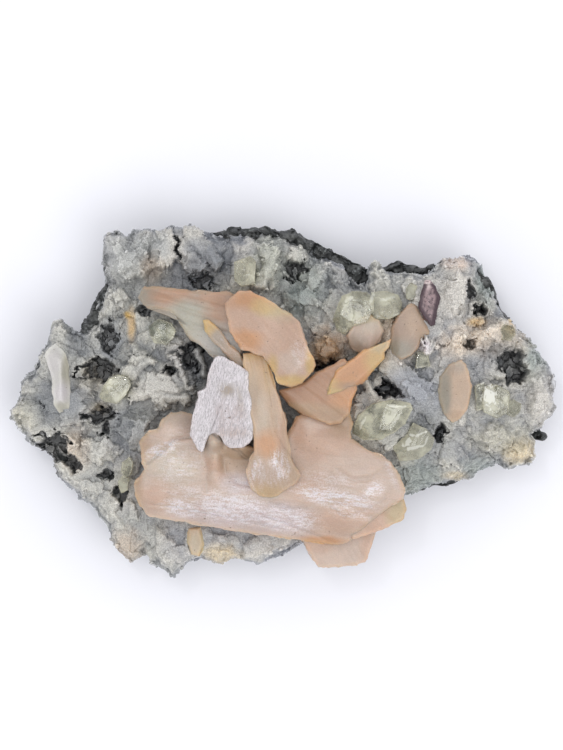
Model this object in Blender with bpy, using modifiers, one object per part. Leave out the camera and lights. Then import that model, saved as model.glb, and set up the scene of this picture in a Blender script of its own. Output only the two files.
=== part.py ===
"""Apophyllite cluster: a loose cabinet specimen of zeolite minerals on basalt.

The tables are in millimetres and the scene is in metres. Seen from above, +X runs
to the right, +Y to the back edge and +Z up. The origin is on the flat base, under
the middle of the specimen. Every crystal is an outline seen from above, extruded
down from a tilted top face and cut by planes; the crust and the rock are lumps
fused by a voxel remesh and roughened by noise.
"""

import math

import bmesh
import bpy
from mathutils import Matrix, Vector, noise

MM = 0.001
GAP = 0.35  # clearance between neighbouring pieces
SKY = 60.0  # above everything, the top of a pocket cut for a crystal
CRUST_FLOOR = 9.0
CRUST_TOP = 20.0
CRUST_VOXEL = 1.5
CRUST_TRIANGLES = 3300
ROCK_TOP = 13.5
ROCK_VOXEL = 1.8
ROCK_TRIANGLES = 1150

ROCK_OUTLINE = [
    (-62.5, -2.7), (-61.0, 2.3), (-56.9, 8.9), (-53.4, 13.2), (-50.9, 16.7), (-48.4, 21.3),
    (-45.8, 26.3), (-42.8, 31.6), (-42.3, 37.2), (-38.3, 38.7), (-29.4, 40.2), (-20.6, 40.7),
    (-15.0, 42.0), (-9.2, 42.5), (-4.2, 42.7), (0.9, 41.7), (3.9, 41.2), (9.2, 38.2), (16.0, 34.4),
    (21.3, 32.6), (26.1, 32.6), (29.9, 34.4), (35.0, 32.4), (38.0, 33.6), (40.8, 34.1), (45.1, 32.9),
    (49.6, 32.4), (53.2, 28.1), (55.2, 22.8), (59.7, 17.0), (62.2, 13.9), (65.3, 8.9), (66.0, 2.3),
    (65.5, -2.0), (64.8, -5.8), (67.5, -8.5), (67.5, -10.3), (65.3, -11.1), (60.2, -12.6),
    (55.2, -13.8), (49.6, -17.4), (43.8, -21.7), (38.0, -22.7), (31.9, -23.9), (24.9, -27.2),
    (14.8, -31.0), (4.7, -33.5), (-2.9, -36.1), (-11.7, -37.3), (-20.6, -37.3), (-27.6, -39.9),
    (-33.2, -38.1), (-38.8, -36.1), (-42.8, -29.8), (-47.1, -26.0), (-53.4, -20.4), (-57.9, -13.8),
    (-61.5, -8.8),
]

# rim lumps of bare rock: x, y, radius, top
ROCK_LUMPS = [
    (-12.9, 40.0, 3.2, 18.0),
    (-7.9, 40.5, 3.4, 19.0),
    (-2.9, 40.7, 3.2, 18.5),
    (1.6, 39.7, 3.4, 19.0),
    (5.9, 38.0, 3.8, 20.0),
    (10.2, 36.0, 3.6, 19.0),
    (14.7, 33.4, 3.4, 18.0),
    (19.2, 30.7, 3.6, 17.0),
    (26.2, 31.4, 2.6, 18.0),
    (30.2, 32.2, 3.2, 19.0),
    (33.7, 30.9, 2.8, 18.5),
    (39.3, 32.4, 2.4, 18.0),
    (49.8, 29.9, 3.4, 18.0),
    (52.0, 26.4, 3.0, 17.5),
    (60.8, 14.1, 2.8, 17.0),
    (65.1, -9.2, 2.6, 15.5),
    (40.4, -20.8, 2.8, 15.0),
    (-49.5, 16.6, 3.0, 17.0),
    (-47.3, 20.4, 3.2, 18.0),
    (-44.8, 25.2, 3.2, 18.0),
    (-57.0, -15.3, 3.6, 15.0),
]

CRUST_OUTLINE = [
    (-68.1, -3.4), (-65.6, 0.3), (-65.6, 3.6), (-61.6, 6.9), (-60.1, 11.9), (-58.1, 14.1),
    (-56.8, 18.9), (-55.1, 19.1), (-51.8, 15.6), (-48.5, 14.9), (-46.0, 18.9), (-44.0, 23.7),
    (-42.5, 28.2), (-44.0, 31.4), (-44.5, 37.0), (-45.0, 41.0), (-41.0, 41.7), (-38.8, 39.7),
    (-37.2, 42.2), (-30.5, 41.7), (-27.5, 42.7), (-20.4, 42.5), (-14.9, 39.5), (-9.2, 39.0),
    (-4.6, 39.5), (0.9, 37.7), (4.6, 34.7), (9.2, 33.4), (14.2, 32.4), (16.7, 27.4), (21.2, 26.9),
    (22.2, 32.9), (23.5, 34.7), (25.5, 31.4), (30.2, 30.7), (34.7, 29.9), (37.8, 31.9), (41.8, 34.9),
    (46.5, 35.2), (48.3, 32.4), (48.8, 27.7), (51.3, 24.4), (53.6, 19.4), (57.8, 15.9), (62.8, 13.6),
    (66.8, 8.1), (68.4, 2.3), (67.9, -2.7), (65.3, -6.9), (62.3, -8.7), (63.8, -11.5), (63.3, -15.5),
    (56.8, -18.2), (53.8, -16.2), (49.3, -18.7), (43.5, -20.5), (38.5, -19.7), (31.7, -23.7),
    (23.5, -27.0), (12.2, -32.0), (5.4, -36.5), (2.1, -38.8), (-0.9, -40.1), (-5.4, -42.3),
    (-11.7, -40.3), (-16.7, -41.8), (-20.9, -40.1), (-27.5, -44.6), (-33.0, -41.3), (-34.2, -38.8),
    (-38.0, -41.6), (-41.8, -38.3), (-43.5, -32.5), (-48.0, -27.0), (-55.1, -20.7), (-59.3, -13.7),
    (-64.6, -8.7),
]

# rounded knobs of the crust: x, y, half length, half width, turn in degrees, top
KNOBS = [
    (-41.2, 37.5, 3.8, 3.4, 20, 25.0),
    (-35.3, 37.7, 4.2, 2.8, 80, 24.0),
    (-29.5, 36.2, 5.6, 3.2, 85, 26.0),
    (-23.0, 36.2, 6.4, 3.0, 125, 27.0),
    (-16.8, 37.2, 3.4, 2.8, 60, 24.0),
    (-10.3, 36.0, 3.8, 2.6, 0, 24.0),
    (-3.1, 33.5, 6.8, 3.4, 95, 27.0),
    (2.6, 35.5, 3.2, 2.8, 0, 23.0),
    (9.1, 28.8, 4.6, 3.6, 60, 25.0),
    (15.1, 30.0, 4.6, 3.4, 0, 27.0),
    (24.0, 30.3, 4.2, 2.4, 80, 25.0),
    (30.5, 28.8, 3.6, 2.4, 0, 24.0),
    (37.3, 30.5, 3.2, 2.2, 20, 24.5),
    (43.3, 26.0, 9.0, 4.2, 80, 28.5),
    (51.2, 23.0, 3.8, 3.2, 60, 26.0),
    (52.8, 15.8, 6.4, 4.0, 10, 27.5),
    (43.1, 14.0, 3.8, 2.8, 0, 27.0),
    (51.5, 8.1, 5.0, 3.0, 90, 26.0),
    (64.4, -0.7, 6.2, 3.6, 95, 25.5),
    (61.2, 9.1, 4.6, 3.6, 130, 25.5),
    (44.5, -9.4, 4.0, 3.6, 30, 26.0),
    (52.4, -9.4, 4.6, 3.8, 0, 26.0),
    (60.3, -13.7, 4.4, 3.0, 10, 22.0),
    (32.7, 2.1, 8.4, 3.6, 135, 28.5),
    (38.6, 6.3, 3.2, 2.6, 90, 27.0),
    (42.0, -13.6, 5.0, 4.2, 60, 25.0),
    (34.1, -20.4, 5.6, 4.0, 15, 22.0),
    (45.3, -19.0, 4.4, 2.6, 20, 20.0),
    (-55.9, 11.8, 4.2, 2.6, 15, 22.0),
    (-63.4, -4.2, 5.0, 3.9, 100, 22.5),
    (-60.4, 2.6, 5.0, 3.2, 20, 23.0),
    (-52.2, -1.6, 5.8, 5.2, 60, 25.5),
    (-49.0, 2.6, 3.8, 3.2, 0, 25.0),
    (-41.5, 24.0, 4.6, 3.6, 60, 24.5),
    (-38.5, 33.8, 5.4, 4.4, 30, 26.5),
    (-36.5, 10.1, 3.8, 3.2, 0, 25.5),
    (-30.3, 3.1, 9.6, 5.4, 170, 25.5),
    (-26.3, 13.1, 3.8, 2.6, 140, 25.0),
    (-52.4, -12.2, 4.6, 3.2, 100, 23.0),
    (-44.9, -12.4, 5.2, 4.0, 70, 24.0),
    (-35.3, -8.1, 5.0, 4.6, 60, 26.0),
    (-49.3, -22.0, 6.0, 3.4, 160, 21.0),
    (-36.7, -28.8, 4.4, 2.6, 100, 22.0),
    (-38.0, -36.0, 5.2, 3.6, 80, 21.0),
    (-29.2, -38.3, 6.0, 4.8, 100, 22.0),
    (-14.9, -37.3, 4.4, 3.9, 0, 22.0),
    (-5.9, -38.3, 5.6, 3.8, 170, 21.5),
    (20.0, 14.8, 5.4, 4.2, 80, 29.0),
    (11.3, 12.1, 4.6, 4.2, 0, 27.0),
    (5.9, 24.3, 5.0, 4.0, 0, 25.0),
    (30.0, 16.1, 4.0, 4.0, 0, 24.0),
    (-30.3, 16.8, 6.0, 3.6, 30, 24.5),
    (-19.1, 33.0, 5.0, 3.2, 30, 24.5),
    (36.4, 12.6, 3.4, 2.6, 60, 28.5),
]

# hollows in the crust: x, y, half length, half width, turn in degrees, depth level
PITS = [
    (-43.4, 14.8, 4.6, 1.9, 95, 11.0),
    (-45.4, 6.8, 4.4, 2.8, 20, 16.0),
    (-22.4, 11.1, 4.4, 2.8, 75, 11.0),
    (-28.1, 6.6, 2.0, 1.2, 0, 18.0),
    (-19.9, 29.1, 3.2, 2.0, 0, 16.0),
    (-25.4, 35.4, 3.8, 1.4, 70, 17.0),
    (-34.6, 21.9, 2.4, 2.0, 0, 17.0),
    (-44.9, -5.4, 4.6, 3.0, 20, 11.0),
    (-56.1, -15.2, 4.4, 3.2, 130, 11.0),
    (-43.3, -19.7, 2.2, 1.6, 0, 16.0),
    (-40.5, -25.3, 3.6, 1.5, 80, 11.0),
    (3.4, 31.4, 2.8, 2.4, 0, 16.0),
    (28.1, 2.1, 4.0, 2.2, 170, 17.0),
    (57.9, 7.3, 4.2, 2.8, 100, 11.0),
    (49.9, 21.6, 1.8, 1.6, 0, 17.0),
    (46.9, 26.4, 2.0, 1.2, 90, 18.0),
    (46.9, 13.1, 1.6, 1.4, 0, 19.0),
    (11.6, 7.3, 3.6, 1.8, 0, 17.0),
    (39.6, -8.7, 2.0, 1.6, 90, 18.0),
    (-8.9, 21.9, 3.0, 2.0, 0, 17.0),
]

# blades of the pearly sheaf: outline, level of the top face over the outline's middle,
# rise of that face per mm in x and in y, thickness, planes that cut the top
SHEAF = {
    "core": (
        [
            (-32.5, -17.9), (-20.2, -13.5), (2.1, -10.5), (17.0, -12.0), (25.9, -15.4), (29.3, -22.9),
            (25.6, -28.3), (12.0, -30.8), (-12.7, -29.8), (-30.1, -27.3), (-34.5, -22.9),
        ],
        30.0, 0.0, 0.05, 12.0, (),
    ),
    "left_fan_low": (
        [
            (-35.2, -10.4), (-31.8, -7.9), (-25.4, -10.4), (-16.3, -17.2), (-4.8, -24.6),
            (-11.2, -28.5), (-24.9, -25.8), (-33.5, -20.7), (-34.2, -16.0), (-35.2, -12.8),
        ],
        32.0, 0.06, 0.04, 9.0, (),
    ),
    "left_fan_high": (
        [
            (-29.8, -4.7), (-25.4, -3.2), (-21.9, -3.7), (-16.3, -9.8), (-7.7, -17.2), (-2.3, -25.0),
            (-10.2, -26.5), (-20.0, -20.6), (-28.5, -12.8), (-31.7, -7.9),
        ],
        33.5, 0.05, 0.02, 9.0, (),
    ),
    "front_band": (
        [
            (-36.8, -22.9), (-36.1, -20.4), (-22.7, -24.1), (4.6, -27.4), (25.7, -24.6), (30.6, -25.4),
            (31.4, -28.1), (29.4, -30.8), (23.4, -33.6), (14.5, -35.1), (5.3, -36.0), (-5.3, -34.6),
            (-12.8, -33.6), (-22.7, -31.8), (-30.1, -30.6), (-33.3, -29.9), (-35.8, -26.6),
        ],
        27.5, 0.0, 0.22, 8.0, (),
    ),
    "bottom_slab": (
        [
            (5.4, -33.0), (14.6, -32.0), (23.5, -32.3), (22.5, -36.8), (21.1, -40.7), (15.8, -42.2),
            (9.1, -42.2), (5.4, -36.3),
        ],
        23.5, 0.0, 0.05, 6.0, (),
    ),
    "right_lobe": (
        [
            (2.6, -9.3), (9.4, -8.3), (17.0, -10.8), (26.0, -14.7), (27.8, -16.2), (30.5, -21.8),
            (30.2, -25.5), (26.5, -27.9), (11.9, -28.4), (3.1, -25.0), (0.6, -17.6),
        ],
        34.0, -0.05, 0.04, 11.0, (((28.1, -22.6, 33.0), (0.5, -0.2)),),
    ),
    "middle_slab": (
        [
            (-0.6, 1.9), (4.5, 4.9), (13.2, 6.8), (18.3, 3.1), (17.8, -3.0), (17.1, -7.4),
            (16.6, -10.6), (10.7, -12.1), (3.3, -8.9), (0.4, -3.5),
        ],
        31.0, 0.04, 0.02, 10.0, (((2.1, -5.4, 29.5), (-0.35, -0.1)),),
    ),
    "orange_blade": (
        [
            (11.1, 0.9), (12.6, 5.4), (16.5, 9.5), (20.9, 13.2), (26.1, 14.7), (24.1, 9.5),
            (20.9, 6.1), (18.0, 2.2), (14.3, 0.2),
        ],
        33.0, 0.06, 0.06, 7.0, (),
    ),
    "long_blade": (
        [
            (-35.5, 25.0), (-34.0, 27.4), (-28.6, 27.2), (-23.7, 27.0), (-16.3, 26.5), (-10.7, 24.5),
            (-9.7, 17.9), (-10.2, 12.2), (-14.6, 11.2), (-18.8, 13.2), (-22.9, 17.4), (-27.9, 21.3),
            (-33.3, 21.8),
        ],
        31.5, 0.03, -0.02, 6.0, (((-32.3, 24.5, 30.5), (-0.3, 0.05)),),
    ),
    "narrow_blade": (
        [
            (-19.2, 19.3), (-16.8, 19.1), (-7.7, 12.2), (-6.7, 5.8), (-10.2, 5.8), (-14.6, 11.2),
            (-18.7, 15.6),
        ],
        33.5, 0.03, -0.03, 6.5, (),
    ),
    "top_crystal": (
        [
            (-13.2, 24.3), (-9.6, 26.2), (-6.9, 25.5), (-2.8, 22.6), (4.0, 18.7), (5.0, 16.0),
            (6.9, 12.4), (8.1, 9.5), (8.1, 6.6), (5.7, 3.9), (1.8, 1.5), (-0.6, 2.2), (-1.3, 5.1),
            (-4.0, 10.7), (-9.6, 11.9), (-12.0, 15.3), (-13.2, 18.2), (-14.2, 22.6),
        ],
        39.0, 0.22, -0.19, 9.0,
        (((4.0, 8.7, 42.0), (0.35, -0.35)), ((-10.1, 22.6, 36.0), (-0.25, 0.35))),
    ),
    "silver_blade": (
        [
            (-16.7, 9.7), (-14.0, 10.2), (-10.1, 7.1), (-8.4, 0.0), (-7.7, -4.6), (-8.9, -10.0),
            (-12.5, -11.2), (-18.9, -13.1), (-22.3, -9.0), (-21.3, -5.1), (-20.3, 0.7), (-17.9, 5.6),
        ],
        36.5, 0.03, 0.04, 8.0, (),
    ),
    "column": (
        [
            (-9.6, 11.2), (-4.5, 11.7), (-2.8, 9.2), (-1.6, 2.7), (0.9, -3.9), (2.3, -13.1),
            (1.8, -17.5), (-0.4, -21.7), (-3.3, -24.8), (-7.2, -21.7), (-8.6, -19.5), (-6.4, -11.7),
            (-7.7, -4.6), (-8.4, 0.0), (-9.6, 6.8),
        ],
        37.0, 0.02, -0.12, 8.0,
        (((0.8, -10.2, 36.0), (0.45, 0.0)), ((-7.2, -10.2, 36.5), (-0.4, 0.0))),
    ),
}

# single crystals: outline, top, rise in x, rise in y, thickness, planes that cut the top
CRYSTALS = {
    "stilbite_back_blade": [(
        [
            (29.5, 21.4), (31.0, 22.9), (32.7, 22.6), (33.2, 20.2), (34.9, 16.7), (36.6, 15.2),
            (33.4, 13.7), (31.4, 8.8), (27.0, 10.8), (27.8, 15.0), (29.0, 18.9),
        ],
        28.5, -0.05, 0.08, 10.0, (),
    )],
    "stilbite_right_blade": [(
        [
            (38.8, 0.2), (39.5, 5.4), (42.0, 8.8), (44.7, 9.3), (46.9, 4.6), (46.7, 0.7), (45.9, -4.0),
            (44.0, -5.7), (41.5, -6.0), (39.5, -3.8),
        ],
        29.5, 0.0, 0.05, 11.0, (((40.0, 1.4, 28.5), (-0.45, 0.0)),),
    )],
    "stilbite_small_blade": [(
        [
            (-23.3, -33.5), (-20.3, -33.3), (-19.3, -36.5), (-20.6, -39.7), (-22.5, -39.2),
            (-23.5, -36.3),
        ],
        22.5, 0.0, 0.1, 6.0, (),
    )],
    "white_blade": [(
        [
            (-57.8, 11.5), (-56.1, 13.0), (-53.8, 11.0), (-52.3, 5.6), (-51.9, -0.6), (-53.3, -4.5),
            (-54.8, -4.1), (-56.6, -0.1), (-57.5, 5.6),
        ],
        27.0, 0.0, 0.02, 8.5,
        (((-52.3, 3.1, 25.0), (0.8, 0.0)), ((-57.3, 5.6, 25.0), (-0.8, 0.0)),
         ((-55.8, 12.3, 25.0), (0.0, 0.7)), ((-53.6, -3.8, 25.0), (0.1, -0.7))),
    )],
    "purple_crystal": [(
        [
            (35.3, 29.0), (36.5, 29.2), (38.0, 27.7), (39.5, 24.8), (38.5, 22.3), (38.0, 19.6),
            (37.2, 17.6), (36.3, 17.9), (34.3, 21.3), (34.0, 24.5), (34.5, 26.5),
        ],
        32.0, 0.0, 0.0, 13.0,
        (((38.7, 24.0, 29.5), (0.75, 0.0)), ((34.5, 23.3, 29.5), (-0.75, 0.0))),
    )],
    "apophyllite_back": [(
        [
            (-11.7, 33.5), (-7.8, 35.0), (-6.3, 33.5), (-6.5, 28.0), (-9.7, 27.3), (-11.7, 29.0),
        ],
        29.0, 0.05, 0.15, 10.5, (((-7.3, 33.5, 28.5), (0.6, 0.5)),),
    )],
    "apophyllite_centre": [
        (
            [
                (13.1, 24.0), (15.6, 26.0), (19.3, 26.2), (22.5, 24.5), (22.7, 18.1), (19.8, 15.7),
                (15.8, 15.4), (13.1, 18.1),
            ],
            32.0, 0.03, -0.06, 13.5,
            (((13.9, 24.7, 30.5), (-0.9, 0.9)), ((21.7, 25.0, 30.5), (0.9, 0.9)),
             ((21.2, 16.4, 30.5), (0.9, -0.9)), ((13.9, 16.6, 30.5), (-0.9, -0.9))),
        ),
        (
            [
                (21.8, 24.1), (25.2, 25.8), (28.7, 24.1), (28.2, 21.1), (26.2, 19.4), (22.3, 19.6),
            ],
            30.0, 0.05, 0.1, 11.5, (((27.7, 24.1, 29.0), (0.7, 0.3)),),
        ),
    ],
    "apophyllite_front": [(
        [
            (18.3, -8.6), (19.0, -5.2), (21.9, -1.8), (26.3, -0.3), (30.3, -0.8), (31.7, -2.2),
            (30.5, -5.4), (28.3, -8.1), (24.1, -10.6), (20.7, -10.3),
        ],
        33.0, 0.0, 0.05, 14.5,
        (((27.3, -5.9, 31.5), (0.45, -0.55)), ((19.7, -7.4, 30.5), (-0.7, -0.3)),
         ((24.1, -1.0, 31.5), (-0.1, 0.8))),
    )],
    "apophyllite_clear": [(
        [
            (27.3, -12.2), (30.5, -9.7), (32.4, -6.0), (35.6, -7.5), (37.9, -10.2), (37.1, -12.9),
            (33.9, -15.1), (29.0, -15.6),
        ],
        29.5, 0.02, 0.05, 11.0,
        (((36.1, -11.9, 28.0), (0.7, -0.4)), ((29.2, -11.9, 28.0), (-0.6, 0.3))),
    )],
    "apophyllite_right": [
        (
            [
                (49.4, 1.9), (52.6, 3.4), (56.0, 1.7), (56.0, -3.3), (53.1, -5.2), (49.6, -3.5),
            ],
            30.0, -0.1, 0.1, 11.5, (((50.4, 1.2, 29.0), (-0.6, 0.5)),),
        ),
        (
            [
                (55.6, -1.1), (57.4, -0.3), (59.1, -1.6), (59.1, -3.5), (57.4, -4.8), (55.6, -4.0),
            ],
            28.0, 0.0, 0.0, 9.5, (((58.3, -3.5, 27.5), (0.6, -0.6)),),
        ),
        (
            [
                (47.7, 2.9), (50.0, 4.1), (50.2, -2.8), (48.0, -3.3),
            ],
            28.5, 0.0, 0.05, 10.0, (),
        ),
    ],
    "apophyllite_left": [(
        [
            (-33.0, 17.7), (-30.3, 19.4), (-27.1, 18.4), (-26.1, 16.7), (-26.8, 14.5), (-28.5, 13.0),
            (-31.3, 13.5), (-32.5, 15.5),
        ],
        28.5, -0.05, 0.05, 10.0, (((-32.0, 16.7, 27.8), (-0.7, 0.3)),),
    )],
    "apophyllite_left_disc": [(
        [
            (-45.2, 0.4), (-44.2, 2.6), (-42.4, 4.9), (-40.2, 5.8), (-38.0, 5.1), (-37.2, 3.1),
            (-38.5, 0.6), (-40.7, -1.6), (-44.2, -0.8),
        ],
        27.5, 0.02, -0.04, 9.5, (((-44.2, 0.4, 26.5), (-0.5, -0.3)),),
    )],
    "apophyllite_front_left": [
        (
            [
                (-39.5, -16.0), (-37.8, -14.7), (-36.6, -16.0), (-37.3, -19.2), (-39.0, -19.9),
                (-39.8, -18.2),
            ],
            26.0, 0.05, 0.05, 9.0, (),
        ),
        (
            [
                (-40.6, -20.7), (-39.4, -19.2), (-37.9, -20.0), (-38.1, -23.0), (-39.9, -23.7),
            ],
            24.5, 0.0, 0.1, 8.0, (),
        ),
    ],
    "apophyllite_top_small": [(
        [
            (30.7, 27.1), (31.9, 28.3), (33.4, 27.6), (33.4, 24.6), (31.9, 23.9), (30.7, 24.6),
        ],
        28.0, 0.0, 0.1, 9.5, (((31.4, 27.1, 27.5), (-0.5, 0.5)),),
    )],
    "apophyllite_right_small": [(
        [
            (53.9, 16.7), (55.1, 18.2), (57.1, 17.9), (57.8, 16.0), (56.6, 14.0), (54.6, 14.2),
        ],
        29.0, 0.0, 0.0, 10.5, (((55.4, 17.2, 28.3), (-0.4, 0.6)),),
    )],
    "apophyllite_middle_small": [(
        [
            (33.4, 11.3), (35.9, 11.3), (36.6, 7.8), (32.9, 7.1),
        ],
        29.0, 0.0, -0.1, 10.5, (),
    )],
}

COLOURS = {
    "basalt": (0.045, 0.05, 0.052),
    "druse": (0.60, 0.62, 0.60),
    "stilbite": (0.86, 0.60, 0.45),
    "apophyllite": (0.70, 0.74, 0.52),
    "white": (0.86, 0.86, 0.80),
    "purple": (0.30, 0.22, 0.28),
}

PART = "apophyllite_cluster"
HELPERS = "cutters"


def start_scene():
    for obj in list(bpy.data.objects):
        bpy.data.objects.remove(obj)
    for name in (PART, HELPERS):
        group = bpy.data.collections.new(name)
        bpy.context.scene.collection.children.link(group)
    bpy.data.collections[HELPERS].hide_render = True


def material(slot):
    found = bpy.data.materials.get(slot)
    if found:
        return found
    made = bpy.data.materials.new(slot)
    made.use_nodes = True
    shader = made.node_tree.nodes["Principled BSDF"]
    shader.inputs["Base Color"].default_value = (*COLOURS[slot], 1)
    shader.inputs["Roughness"].default_value = 0.5
    made.diffuse_color = (*COLOURS[slot], 1)
    return made


def node(name, bm, slot):
    """The bmesh, drawn in millimetres, as a named object of the part."""
    obj = helper(name, bm)
    bpy.data.collections[HELPERS].objects.unlink(obj)
    bpy.data.collections[PART].objects.link(obj)
    obj.hide_render = False
    obj.display_type = "TEXTURED"
    obj.data.materials.append(material(slot))
    return obj


def helper(name, bm):
    """The bmesh, drawn in millimetres, as an object that only cuts or joins others."""
    bmesh.ops.scale(bm, vec=(MM, MM, MM), verts=bm.verts)
    bmesh.ops.recalc_face_normals(bm, faces=bm.faces)
    mesh = bpy.data.meshes.new(name)
    bm.to_mesh(mesh)
    bm.free()
    obj = bpy.data.objects.new(name, mesh)
    obj.hide_render = True
    obj.display_type = "WIRE"
    bpy.data.collections[HELPERS].objects.link(obj)
    return obj


def spread(outline, distance):
    """The closed outline moved outwards by distance, with mitred corners."""
    points = [Vector(p) for p in outline]
    area = sum(a.cross(b) for a, b in zip(points, points[1:] + points[:1]))
    side = 1 if area > 0 else -1
    moved = []
    for i, here in enumerate(points):
        before = (here - points[i - 1]).normalized()
        after = (points[(i + 1) % len(points)] - here).normalized()
        normals = [Vector((d.y, -d.x)) * side for d in (before, after)]
        middle = (normals[0] + normals[1]).normalized()
        moved.append(here + middle * distance / max(middle.dot(normals[0]), 0.5))
    return moved


def rings(outline, levels):
    """A closed solid through the outline at several scales and heights.

    levels holds pairs: a scale about the outline's middle, and a function of x and y
    that gives z.
    """
    bm = bmesh.new()
    points = [Vector(p) for p in outline]
    middle = sum(points, Vector((0, 0))) / len(points)
    loops = []
    for scale, level in levels:
        ring = [middle + (p - middle) * scale for p in points]
        loops.append([bm.verts.new((p.x, p.y, level(p.x, p.y))) for p in ring])
    for low, high in zip(loops, loops[1:]):
        for i in range(len(points)):
            bm.faces.new((low[i - 1], low[i], high[i], high[i - 1]))
    bm.faces.new(loops[0])
    bm.faces.new(loops[-1])
    bmesh.ops.triangulate(bm, faces=bm.faces, ngon_method="EAR_CLIP")
    bmesh.ops.recalc_face_normals(bm, faces=bm.faces)
    return bm


def cut_above(bm, point, lean):
    """Removes what is above the plane through the point that leans towards lean."""
    normal = Vector((*lean, 1)).normalized()
    everything = bm.verts[:] + bm.edges[:] + bm.faces[:]
    bmesh.ops.bisect_plane(
        bm, geom=everything, dist=1e-3, plane_co=point, plane_no=normal, clear_outer=True
    )
    bmesh.ops.holes_fill(bm, edges=bm.edges)


def sloping(outline, top, rise_x, rise_y):
    """A function of x, y and a drop, giving z on or under the tilted top face."""
    middle = sum((Vector(p) for p in outline), Vector((0, 0))) / len(outline)

    def level(drop):
        return lambda x, y: top + rise_x * (x - middle.x) + rise_y * (y - middle.y) - drop

    return level


def crystal(outline, top, rise_x, rise_y, thickness, planes):
    """A flat-topped crystal with sloping shoulders, its top cut by the planes."""
    level = sloping(outline, top, rise_x, rise_y)
    shoulder = min(1.6, thickness / 4)
    bm = rings(
        outline,
        [
            (0.86, level(thickness)),
            (1.0, level(thickness * 0.7)),
            (1.0, level(shoulder)),
            (0.88, level(0.0)),
        ],
    )
    for point, lean in planes:
        cut_above(bm, point, lean)
    bmesh.ops.triangulate(bm, faces=bm.faces, ngon_method="EAR_CLIP")
    return bm


def pocket(outline, top, rise_x, rise_y, thickness, planes):
    """The room a crystal needs in the crust, open to the sky."""
    level = sloping(outline, top, rise_x, rise_y)
    return rings(
        spread(outline, GAP), [(1.0, level(thickness + GAP)), (1.0, lambda x, y: SKY)]
    )


def gather(name):
    group = bpy.data.collections.new(name)
    bpy.data.collections[HELPERS].children.link(group)
    group.hide_render = True
    return group


def boolean(obj, operation, group):
    mod = obj.modifiers.new(operation.lower(), "BOOLEAN")
    mod.solver = "EXACT"
    mod.operation = operation
    mod.operand_type = "COLLECTION"
    mod.collection = group


def grown_together(name, shapes, slot, pockets):
    """Overlapping crystals as one solid, and their pockets added to the group."""
    obj = node(name, crystal(*shapes[0]), slot)
    for i, shape in enumerate(shapes):
        pockets.objects.link(helper(f"{name}_pocket_{i}", pocket(*shape)))
    if len(shapes) > 1:
        others = gather(f"{name}_others")
        for i, shape in enumerate(shapes[1:]):
            others.objects.link(helper(f"{name}_other_{i}", crystal(*shape)))
        boolean(obj, "UNION", others)


def lump(bm, x, y, long, wide, turn, foot, top):
    """A rounded block of the given half sizes, from the foot level up to the top."""
    made = bmesh.ops.create_icosphere(bm, subdivisions=3, radius=1.0)["verts"]
    for vert in made:
        for axis in range(3):
            value = vert.co[axis]
            vert.co[axis] = math.copysign(abs(value) ** 0.75, value)
    size = Matrix.Diagonal((long, wide, (top - foot) / 2, 1))
    place = Matrix.Translation((x, y, (top + foot) / 2))
    turned = Matrix.Rotation(math.radians(turn), 4, "Z")
    bmesh.ops.transform(bm, matrix=place @ turned @ size, verts=made)


def settled(obj):
    """A bmesh, in metres, of the object with its modifiers applied, largest body only."""
    bpy.context.view_layer.update()
    graph = bpy.context.evaluated_depsgraph_get()
    bm = bmesh.new()
    bm.from_mesh(obj.evaluated_get(graph).to_mesh())
    obj.modifiers.clear()
    left = set(bm.verts)
    bodies = []
    while left:
        front = [left.pop()]
        body = set(front)
        while front:
            here = front.pop()
            for edge in here.link_edges:
                there = edge.other_vert(here)
                if there not in body:
                    body.add(there)
                    front.append(there)
        left -= body
        bodies.append(body)
    bodies.sort(key=len)
    small = [vert for body in bodies[:-1] for vert in body]
    bmesh.ops.delete(bm, geom=small, context="VERTS")
    return bm


def roughen(bm, lumps):
    """Moves each vertex along its normal by noise, in (size, depth) pairs in mm."""
    bm.normal_update()
    moves = []
    for vert in bm.verts:
        depth = sum(d * noise.noise(vert.co / (size * MM)) for size, d in lumps)
        moves.append(vert.normal * depth * MM)
    for vert, move in zip(bm.verts, moves):
        vert.co += move


def fused(obj, voxel, triangles, lumps):
    """Overlapping lumps made one skin, roughened, with about this many triangles."""
    remesh = obj.modifiers.new("remesh", "REMESH")
    remesh.mode = "VOXEL"
    remesh.voxel_size = voxel * MM
    bm = settled(obj)
    roughen(bm, lumps)
    bmesh.ops.triangulate(bm, faces=bm.faces)
    bm.to_mesh(obj.data)
    count = len(bm.faces)
    bm.free()
    decimate = obj.modifiers.new("decimate", "DECIMATE")
    decimate.ratio = min(1.0, triangles / count)
    bm = settled(obj)
    bm.to_mesh(obj.data)
    bm.free()


def rock():
    """The dark basalt slab with lumps on its rim and a flat base at z = 0."""
    bm = rings(
        ROCK_OUTLINE,
        [
            (0.80, lambda x, y: -2.0),
            (0.88, lambda x, y: 2.5),
            (0.97, lambda x, y: 7.0),
            (1.0, lambda x, y: 10.5),
            (0.98, lambda x, y: ROCK_TOP),
        ],
    )
    for x, y, radius, top in ROCK_LUMPS:
        lump(bm, x, y, radius, radius * 0.85, 40 * x, 5.0, top)
    obj = node("basalt_matrix", bm, "basalt")
    fused(obj, ROCK_VOXEL, ROCK_TRIANGLES, [(14, 1.6), (5, 0.9)])
    bm = bmesh.new()
    bm.from_mesh(obj.data)
    everything = bm.verts[:] + bm.edges[:] + bm.faces[:]
    bmesh.ops.bisect_plane(
        bm, geom=everything, dist=1e-6, plane_co=(0, 0, 0), plane_no=(0, 0, -1), clear_outer=True
    )
    bmesh.ops.holes_fill(bm, edges=bm.edges)
    bmesh.ops.triangulate(bm, faces=bm.faces, ngon_method="EAR_CLIP")
    bm.to_mesh(obj.data)
    bm.free()
    return obj


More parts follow.
